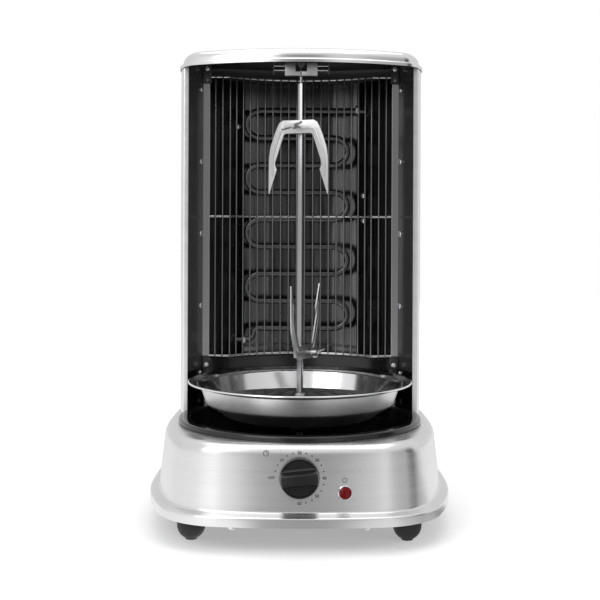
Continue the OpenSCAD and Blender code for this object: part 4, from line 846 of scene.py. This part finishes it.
rings = [crown[0], *rings, crown[1]]


# The cap's downward faces and its inner faces, which take the black finish as painted shade
def underCapShade(at, way):
    below = way.z < -0.7 and at.z > capSizes["shadeFrom"]
    return below or way.dot(Vector((at.x, at.y - capSizes["shadeY"], 0))) < 0 and at.y > 0


piece("cap", loft(rings, False), capSteel, replaces=["cap"], sharp=40,
      inside=(paintedShadeBlack, underCapShade))
piece("capScrews", copies([((x, 0, levels["cap"]), (0, 0, 1)) for x in capSizes["screws"]], screwModel("cap"), zinc),
      zinc, replaces=["cap_screws"])

piece("lowerShroud", bevelled(cadCopy("lower_shroud"), 0.25, 2, 40), shroudPaint,
      replaces=["lower_shroud"], sharp=30)

reflectorSizes = {"low": 150, "high": 455, "sheet": 0.8, "rear": ((0, 142), (37, 142)),
                  "wing": ((64, 128), (99, 79.7)), "flange": (106, 79.4), "panelFoot": (118.92, 39.2),
                  "flangeGap": 0.85, "flangeLength": 13, "bends": (0.7, 0.9, 5, 6),
                  "lip": ((-32, 134, 158.5), (32, 142.4, 159.3))}
(flangeX, flangeY), (footX, footY) = reflectorSizes["flange"], reflectorSizes["panelFoot"]
away = Vector((flangeX - footX, flangeY - footY)).normalized()
seat = Vector((flangeX, flangeY)) + Vector((away.y, -away.x)) * reflectorSizes["flangeGap"]
fold = [*reflectorSizes["rear"], *reflectorSizes["wing"], (seat.x + 0.25, reflectorSizes["wing"][1][1]),
        tuple(seat - away * reflectorSizes["flangeLength"])]
fold = [(-x, y) for x, y in fold[:0:-1]] + fold
fold = rounded(fold, [*reflectorSizes["bends"], 0, *reflectorSizes["bends"][::-1]], 5)
reflector = wall(fold, reflectorSizes["sheet"], reflectorSizes["low"], reflectorSizes["high"])
lip = bevelled(block(*reflectorSizes["lip"]), 0.3)
piece("reflector", together(reflector, lip), reflectorSteel, replaces=["reflector"], sharp=35)

# Places are given for the right side, with the way that the heads point
towerScrews = {"panel": (108.14, 72.74), "panelWay": (-0.952, -0.306),
               "panelHeights": (38, 110.8, 188.8, 266.8, 344.8), "wing": (70, 119.72), "wingWay": (-0.81, -0.587),
               "wingLeft": (308,), "wingRight": (231, 203),
               "bracket": (101.6, 75.78), "bracketHeights": (143.5, 464.5), "tab": (101.6, 78.6), "tabHeight": 103.5}


def onSides(place, way, heights, sides=(-1, 1)):
    return [((s * place[0], place[1], z), (s * way[0], way[1], 0)) for s in sides for z in heights]


def overTop(heights):
    return [levels["top"] + z for z in heights]


panelPlaces = onSides(towerScrews["panel"], towerScrews["panelWay"], overTop(towerScrews["panelHeights"]))
piece("panelScrews", copies(panelPlaces, screwModel("panel"), zinc), zinc, replaces=["panel_screws"])
wingPlaces = onSides(towerScrews["wing"], towerScrews["wingWay"], overTop(towerScrews["wingLeft"]), (-1,))
wingPlaces += onSides(towerScrews["wing"], towerScrews["wingWay"], overTop(towerScrews["wingRight"]), (1,))
piece("reflectorScrews", copies(wingPlaces, screwModel("panel"), zinc), zinc, replaces=["reflector_screws"])
bracketPlaces = onSides(towerScrews["bracket"], (0, -1), towerScrews["bracketHeights"])
tabPlaces = onSides(towerScrews["tab"], (0, -1), [towerScrews["tabHeight"]])
piece("bracketScrews", together(copies(bracketPlaces, screwModel("bracket"), zinc),
                                copies(tabPlaces, screwModel("tab"), zinc)),
      zinc, replaces=["bracket_screws"])
piece("cornerBrackets", bevelled(cadCopy("corner_brackets"), 0.2), bracketPaint,
      replaces=["corner_brackets"])

guardSizes = {"radius": 110.0, "spread": 45, "reach": 99, "ring": 2.4, "wire": 1.6, "weld": 0.25, "low": 153.1,
              "height": 302.5, "wires": 20, "outer": (84.6, 92.4), "over": 1.2}
radius, spread, wires = guardSizes["radius"], guardSizes["spread"], guardSizes["wires"]
ringHalf, wireHalf = guardSizes["ring"] / 2, guardSizes["wire"] / 2
ringHeights = [guardSizes["low"] + guardSizes["height"] * part for part in (0, 0.5, 1)]
ringY = radius * math.cos(math.radians(spread))
ringLine = [(-guardSizes["reach"], ringY)] + arc((0, 0), radius, 90 + spread, 90 - spread, 60)
ringLine.append((guardSizes["reach"], ringY))
ringRod = swept([(*p, 0) for p in ringLine], guardSizes["ring"], guardSteel)
guard = [copies([((0, 0, z), (0, 0, 1)) for z in ringHeights], ringRod, guardSteel)]
wireRadius = radius - ringHalf - wireHalf + guardSizes["weld"]
wirePoints = [polar(wireRadius, 90 + spread - 2 * spread * i / (wires - 1)) for i in range(wires)]
wirePoints += [(s * x, ringY - radius + wireRadius) for s in (-1, 1) for x in guardSizes["outer"]]
wireEnd = guardSizes["height"] + 2 * guardSizes["over"]
wireRod = lathe(rounded([(0, 0), (wireHalf, 0), (wireHalf, wireEnd), (0, wireEnd)], 0.4, 3), 12, closed=False)
guard.append(copies([((*p, guardSizes["low"] - guardSizes["over"]), (0, 0, 1)) for p in wirePoints], wireRod,
                    guardSteel))


def onRingHighlight(at, way):
    # The upper and lower faces of the rings, which take a lighter copy of the wire's steel as a painted highlight
    return min(abs(at.z - z) for z in ringHeights) < ringHalf + 0.05 and abs(way.z) > 0.2


piece("wireGuard", together(*guard), guardSteel, replaces=["wire_guard"], inside=(ringSteel, onRingHighlight))
print("tower drawn")

# Heater

heaterSizes = {"width": 6.5, "runs": 9, "pitch": 30.4, "low": 179.6, "half": 41, "off": -4, "y": 119, "end": 8,
               "turn": 80, "tail": 6, "nutIn": 9.6}
half, pitch, low, off = (heaterSizes[key] for key in ("half", "pitch", "low", "off"))
end, tail, endTurn, heaterY = (heaterSizes[key] for key in ("end", "tail", "turn", "y"))
(wingX, wingY), (wingEndX, wingEndY) = reflectorSizes["wing"]
crossX = wingX + (wingY - heaterY) / ((wingY - wingEndY) / (wingEndX - wingX))
reach = end * math.sin(math.radians(endTurn))
endZ = low - 2 * end * (1 - math.cos(math.radians(endTurn)))
highZ = low + pitch * (heaterSizes["runs"] - 1)
route = [(-crossX - off - tail, endZ)] + arc((-half - 2 * reach, endZ + end), end, 270, 270 + endTurn, 12)
route += arc((-half, low - end), end, 90 + endTurn, 90, 12)[1:]
for i in range(heaterSizes["runs"] - 1):
    s = 1 if i % 2 == 0 else -1
    route += arc((s * half, low + pitch * (i + 0.5)), pitch / 2, -90, 90 if s > 0 else -270, 24)
route.append((crossX - off + tail, highZ))
tube = swept([(x + off, heaterY, z) for x, z in route], heaterSizes["width"], sheath, 20)
piece("heatingElement", tube, sheath, replaces=["heating_element"])
nutPlaces = [((s * (crossX - heaterSizes["nutIn"]), heaterY, z), (s, 0, 0)) for s, z in ((1, highZ), (-1, endZ))]
piece("elementNuts", copies(nutPlaces, hexNut("element"), zinc), zinc, replaces=["element_nuts"], sharp=20)

# Top holder

holderSizes = {"leaf": ((-5.2, 17), (-4.2, 8.2), (-1.2, 3.4), (1.2, 3.4), (4.2, 8.2), (5.2, 17)), "leafSheet": 0.6,
               "leafPlace": (0, -3.2, 452), "coil": {"Turns": 5.0, "Radius": 1.6, "Length": 5.65, "Wire": 0.55},
               "coilX": 7.6, "coilZ": 458.0}
leaf = moved(plate(holderSizes["leaf"], holderSizes["leafSheet"]), shift(*holderSizes["leafPlace"]) @ turn(90, "X"))
piece("topYoke", together(bevelled(cadCopy("top_yoke"), 0.25), bevelled(leaf, 0.15)), bracketPaint,
      replaces=["top_yoke"])
for s, hand in ((1, "right"), (-1, "left")):
    piece("jaw" + hand.title(), bevelled(cadCopy("jaw_" + hand), 0.35, 2, 40), jawSteel,
          "jaw_" + hand, ["jaw_" + hand])
    coil = Shape("coil", holderSizes["coil"])
    spiral = coil.node("GeometryNodeCurveSpiral", None, {
        "Resolution": 22, "Rotations": coil.given("Turns"), "Start Radius": coil.given("Radius"),
        "End Radius": coil.given("Radius"), "Height": coil.given("Length")})
    coil.end(coil.rod(spiral, coil.given("Wire"), 8), springSteel.material)
    spring = coil.grow(drawn(meshOf([(0, 0, 0)], [])))
    moved(spring, shift(s * holderSizes["coilX"], 0, holderSizes["coilZ"]) @ turn(s * 90, "Y"))
    piece("jawSpring" + hand.title(), spring, springSteel, "root", ["jaw_spring_" + hand])
print("heater and holder drawn")

# Skewer, forks and bowl

skewerSizes = {"width": 5.0, "low": 119.1, "high": 440.0, "pin": 1.6, "pinTop": 461.5, "turn": -26}
half, high, pin, top = skewerSizes["width"] / 2, skewerSizes["high"], skewerSizes["pin"], skewerSizes["pinTop"]
bar = bevelled(block((-half, -half, skewerSizes["low"]), (half, half, high)), 0.35, 2)
tip = lathe([(0, high - 2), (pin, high - 2), (pin, top - 0.9), (pin - 0.5, top - 0.1), (0, top)], 32, closed=False)
piece("skewerShaft", moved(together(bar, tip), turn(skewerSizes["turn"], "Z")), turnedSteel, "skewer",
      ["skewer_shaft"])

forkSizes = {"bar": 13.4, "length": 61.5, "half": 33.6, "topHalf": 17.3, "inHalf": 15.8, "barb": 36.8, "thick": 1.6,
             "rib": 2.4, "ribDown": 6.7, "ribRise": (1.2, 0.9), "sleeve": 10, "sleeveBack": 5.1, "bore": 2.65,
             "upper": 402.4, "lower": 160.2}


def fork():
    h, top, inner, down = (forkSizes[key] for key in ("half", "topHalf", "inHalf", "bar"))
    tip, barb, rib = down + forkSizes["length"], down + forkSizes["barb"], forkSizes["ribDown"]
    side = rounded([(top, 0), (h - 12, -2.4), (h - 8.8, -8.7), (h - 6.4, -14.6), (h - 1.7, -28), (h - 0.2, -39),
                    (h, -tip), (h - 0.9, -tip), (h - 9.4, -barb), (h - 7.3, 4.8 - barb), (h - 7.5, 7.6 - barb),
                    (inner, -down)], [6, 5, 8, 20, 20, 0.2, 0.2, 0.5, 0.8, 4], 4)
    x, y = side[-2]
    outline = side[:-1] + rounded([(x, y), (inner, -down), (-inner, -down), (-x, y)], [4, 4], 5)[1:-1]
    outline += [(-x, y) for x, y in side[-2::-1]]
    body = bevelled(plate(outline, forkSizes["thick"]), 0.4, 3)
    line = rounded([(h - 3.1, 18 - tip), (h - 3.1, -37), (h - 5.3, -29.7), (h - 11.8, -12.5), (top, -rib), (0, -rib)],
                   [8, 10, 6, 5], 4)
    line += [(-x, y) for x, y in line[-2::-1]]
    ribFrom, ribThick = forkSizes["ribRise"]
    groove = bevelled(plate(band(line, forkSizes["rib"]), ribThick, ribFrom), 0.42, 3)
    reach, bore = forkSizes["sleeve"] / 2, forkSizes["bore"]
    flat = moved(together(body, groove), shift(0, -reach, 0) @ turn(90, "X"))
    sleeve = combined(block((-reach, -forkSizes["sleeveBack"], -down), (reach, reach, 0)),
                      block((-bore, -bore, -14), (bore, bore, 1)))
    return together(flat, bevelled(sleeve, 0.45, 3))


upperTurn, lowerTurn = skewerSizes["turn"], skewerSizes["turn"] + 90
upperPlace = shift(0, 0, forkSizes["upper"]) @ turn(upperTurn, "Z")
lowerPlace = shift(0, 0, forkSizes["lower"]) @ turn(lowerTurn, "Z") @ Matrix.Diagonal((1, 1, -1, 1))
piece("forkUpper", moved(fork(), upperPlace), forkSteel, "fork_upper", ["fork_upper"])
piece("forkLower", moved(fork(), lowerPlace), forkSteel, "fork_lower", ["fork_lower"])

thumbSizes = {"wings": ((-2.6, 0.2), (2.6, 0.2), (6.5, 1.2), (12, 4.4), (11.4, 9), (7.4, 9), (2.4, 4.8), (-2.4, 4.8),
                        (-7.4, 9), (-11.4, 9), (-12, 4.4), (-6.5, 1.2), (-2.6, 0.2)),
              "wingRadii": (0.5, 6, 2.6, 2.2, 4, 1, 1, 4, 2.2, 2.6, 6), "thick": 1.6, "out": 15, "twist": 18,
              "shaft": ((0, 2.6), (1.2, 2.6), (1.5, 2.9), (1.5, 13.2), (2.5, 13.2), (2.8, 13.6), (2.6, 17.6),
                        (1.9, 19.2), (0, 19.6)), "down": 6.7}


def thumbScrew():
    wings = rounded(thumbSizes["wings"], thumbSizes["wingRadii"], 5)[:-1]
    grip = bevelled(plate(wings, thumbSizes["thick"], -thumbSizes["thick"] / 2), 0.5, 3)
    grip = moved(grip, turn(thumbSizes["twist"], "Z") @ shift(0, 0, thumbSizes["out"]) @ turn(90, "X"))
    return moved(together(lathe(thumbSizes["shaft"], 32, closed=False), grip), turn(90, "X"))


for name, z, angle in (("upper", forkSizes["upper"] - thumbSizes["down"], upperTurn),
                       ("lower", forkSizes["lower"] + thumbSizes["down"], lowerTurn)):
    piece("thumb" + name.title(), moved(thumbScrew(), shift(0, 0, z) @ turn(angle, "Z")), forkSteel,
          "thumb_" + name, ["thumb_screw_" + name])

bowlSizes = {"profile": ((112.8, 136.0), (114, 136.6), (113.4, 138.0), (111, 138.0), (104.5, 135.9), (100.6, 133.6),
                         (94.6, 116.4), (92, 114.2), (89.0, 113.4), (75.5, 104.2), (68.5, 101.8), (5.8, 101.8)),
             "radii": (0.5, 0.9, 1.2, 2, 2.4, 1.5, 1.5, 1.5, 4, 3), "sheet": 0.8, "satinBelow": 134}
bowl = lathe(band(rounded(bowlSizes["profile"], bowlSizes["radii"], 5), bowlSizes["sheet"]), 160)
piece("dripBowl", bowl, bowlSteel, "bowl", ["drip_bowl"], sharp=40,
      inside=(bowlSatin, lambda at, way: way.z < -0.05 and at.z < bowlSizes["satinBelow"]))
print("skewer, forks and bowl drawn")

dressed(darkPlate, "bottom_plate", "ceiling_plate")
dressed(bronze, "hub_bush")
dressed(shaftSteel, "drive_hub")
dressed(turnedSteel, "timer_shaft")
dressed(galvanised, "motor_bracket", "element_posts")
dressed(motorCase, "gear_motor")
dressed(zinc, "motor_screws", "element_terminals")
dressed(ivory, "terminal_block", "lamp_body")
dressed(timerCase, "timer_body")
dressed(smokedPanel, "side_panel_left", "side_panel_right")
dressed(shroudPaint, "side_skirt_left", "side_skirt_right")
dressed(chrome, "guide_rods")
print("CAD nodes dressed")

# Stage, light and camera

# The soft boxes stand round the object: degrees from the front, rising to the right, and their level
stageSizes = {"floor": 6.0, "paper": 0.90, "dark": 0.04, "shadow": (0.3, 0.8, 0.36), "dim": 0.42, "ceiling": 0.9,
              "ceilingFrom": (0.30, 0.62),
              "softBoxes": ((-180, 0.72), (-120, 0.85), (-60, 1.0), (-30, 1.1), (-18, 1.1), (-12, 0.36), (0, 0.31),
                            (9, 0.34), (14, 0.5), (20, 0.85), (34, 0.85), (44, 0.6), (58, 0.5), (74, 0.5), (79, 0.1),
                            (93, 0.1), (100, 0.9), (120, 0.85), (180, 0.72))}


def grey(level):
    return (level, level, level, 1.0)


def softBoxes(graph, place):
    # The level of the soft boxes in the direction of a place
    x, y = (graph.node("ShaderNodeSeparateXYZ", None, {0: place}, out=axis) for axis in (0, 1))
    around = x.math("ARCTAN2", 0.0 - y) * (0.5 / math.pi) + 0.5
    stops = [(angle / 360 + 0.5, (level,) * 3) for angle, level in stageSizes["softBoxes"]]
    return graph.node("ShaderNodeValToRGB", {"stops": stops}, {0: around})


# The floor is plain paper for light and shadow, and shows the soft boxes to what mirrors it
paper = Finish("stagePaper", (stageSizes["paper"],) * 3, 0.6)
near, far, least = stageSizes["shadow"]
cameraRay = paper.node("ShaderNodeLightPath")
glossyRay = paper.node("ShaderNodeLightPath", out="Is Glossy Ray")
spot = paper.node("ShaderNodeTexCoord", out=3)
distance = paper.node("ShaderNodeVectorMath", {"operation": "LENGTH"}, {0: spot}, out=1)
fade = paper.node("ShaderNodeMapRange", None, {0: distance, 1: near, 2: far, 3: least, 4: 1.0})
lit = paper.mix(cameraRay * fade, grey(0.0), grey(1.0))
paper.set("Emission Color", paper.mix(glossyRay, lit, softBoxes(paper, spot)))
paper.set("Emission Strength", 1.0)
paper.set("Base Color", paper.mix(glossyRay, grey(stageSizes["paper"]), grey(stageSizes["dark"])))
half = stageSizes["floor"] / 2
floor = meshOf([(-half, -half, 0), (half, -half, 0), (half, half, 0), (-half, half, 0)], [[0, 1, 2, 3]])
floor.materials.append(paper.material)
drawn(floor, "stageFloor")

world = bpy.data.worlds.new("studio")
bpy.context.scene.world = world
world.use_nodes = True
sky = Graph(world.node_tree)
background = world.node_tree.nodes["Background"]
cameraRay = sky.node("ShaderNodeLightPath")
glossyRay = sky.node("ShaderNodeLightPath", out="Is Glossy Ray")
place = sky.node("ShaderNodeTexCoord")
height = sky.node("ShaderNodeSeparateXYZ", None, {0: place}, out=2)
low, high = stageSizes["ceilingFrom"]
above = sky.node("ShaderNodeMapRange", None, {0: height, 1: low, 2: high})
mirrored = sky.mix(above, softBoxes(sky, place), grey(stageSizes["ceiling"]))
light = sky.mix(cameraRay, sky.mix(glossyRay, grey(stageSizes["dim"]), mirrored), grey(1.0))
world.node_tree.links.new(light.socket, background.inputs["Color"])
background.inputs["Strength"].default_value = 1.0

# Places and targets are in metres from the foot of the skewer's axis
lightSizes = {"keyLight": {"place": (-0.9, -1.1, 1.15), "target": 0.2, "size": (0.9, 0.9), "power": 7.5},
              "fillLight": {"place": (1.2, -0.9, 0.8), "target": 0.2, "size": (0.8, 1.0), "power": 6,
                            "glossy": False},
              "topLight": {"place": (0, 0, 1.5), "target": 0, "size": (1.4, 1.4), "power": 7}}


def areaLight(name, place, target, size, power, glossy=True):
    data = bpy.data.lights.new(name, "AREA")
    data.shape = "RECTANGLE"
    data.size, data.size_y = size
    data.energy = power
    thing = bpy.data.objects.new(name, data)
    bpy.context.scene.collection.objects.link(thing)
    thing.location = (place[0], axisY + place[1], place[2])
    way = Vector((0, axisY, target)) - thing.location
    thing.rotation_euler = way.to_track_quat("-Z", "Y").to_euler()
    thing.visible_glossy = glossy


for name, settings in lightSizes.items():
    areaLight(name, **settings)

cameraSizes = {"lens": 71.7, "distance": 1.219, "height": 0.305, "shiftX": -0.001, "shiftY": -0.14, "roll": 0.25}
viewer = bpy.data.objects.new("camera", bpy.data.cameras.new("camera"))
bpy.context.scene.collection.objects.link(viewer)
viewer.data.lens = cameraSizes["lens"]
viewer.data.sensor_width = 36
viewer.data.shift_x = cameraSizes["shiftX"]
viewer.data.shift_y = cameraSizes["shiftY"]
viewer.location = (0, axisY - cameraSizes["distance"], cameraSizes["height"])
viewer.rotation_euler = (Matrix.Rotation(math.radians(90), 3, "X")
                         @ Matrix.Rotation(math.radians(cameraSizes["roll"]), 3, "Z")).to_euler()
bpy.context.scene.camera = viewer
bpy.context.scene.view_settings.view_transform = "Standard"

print("stage set")
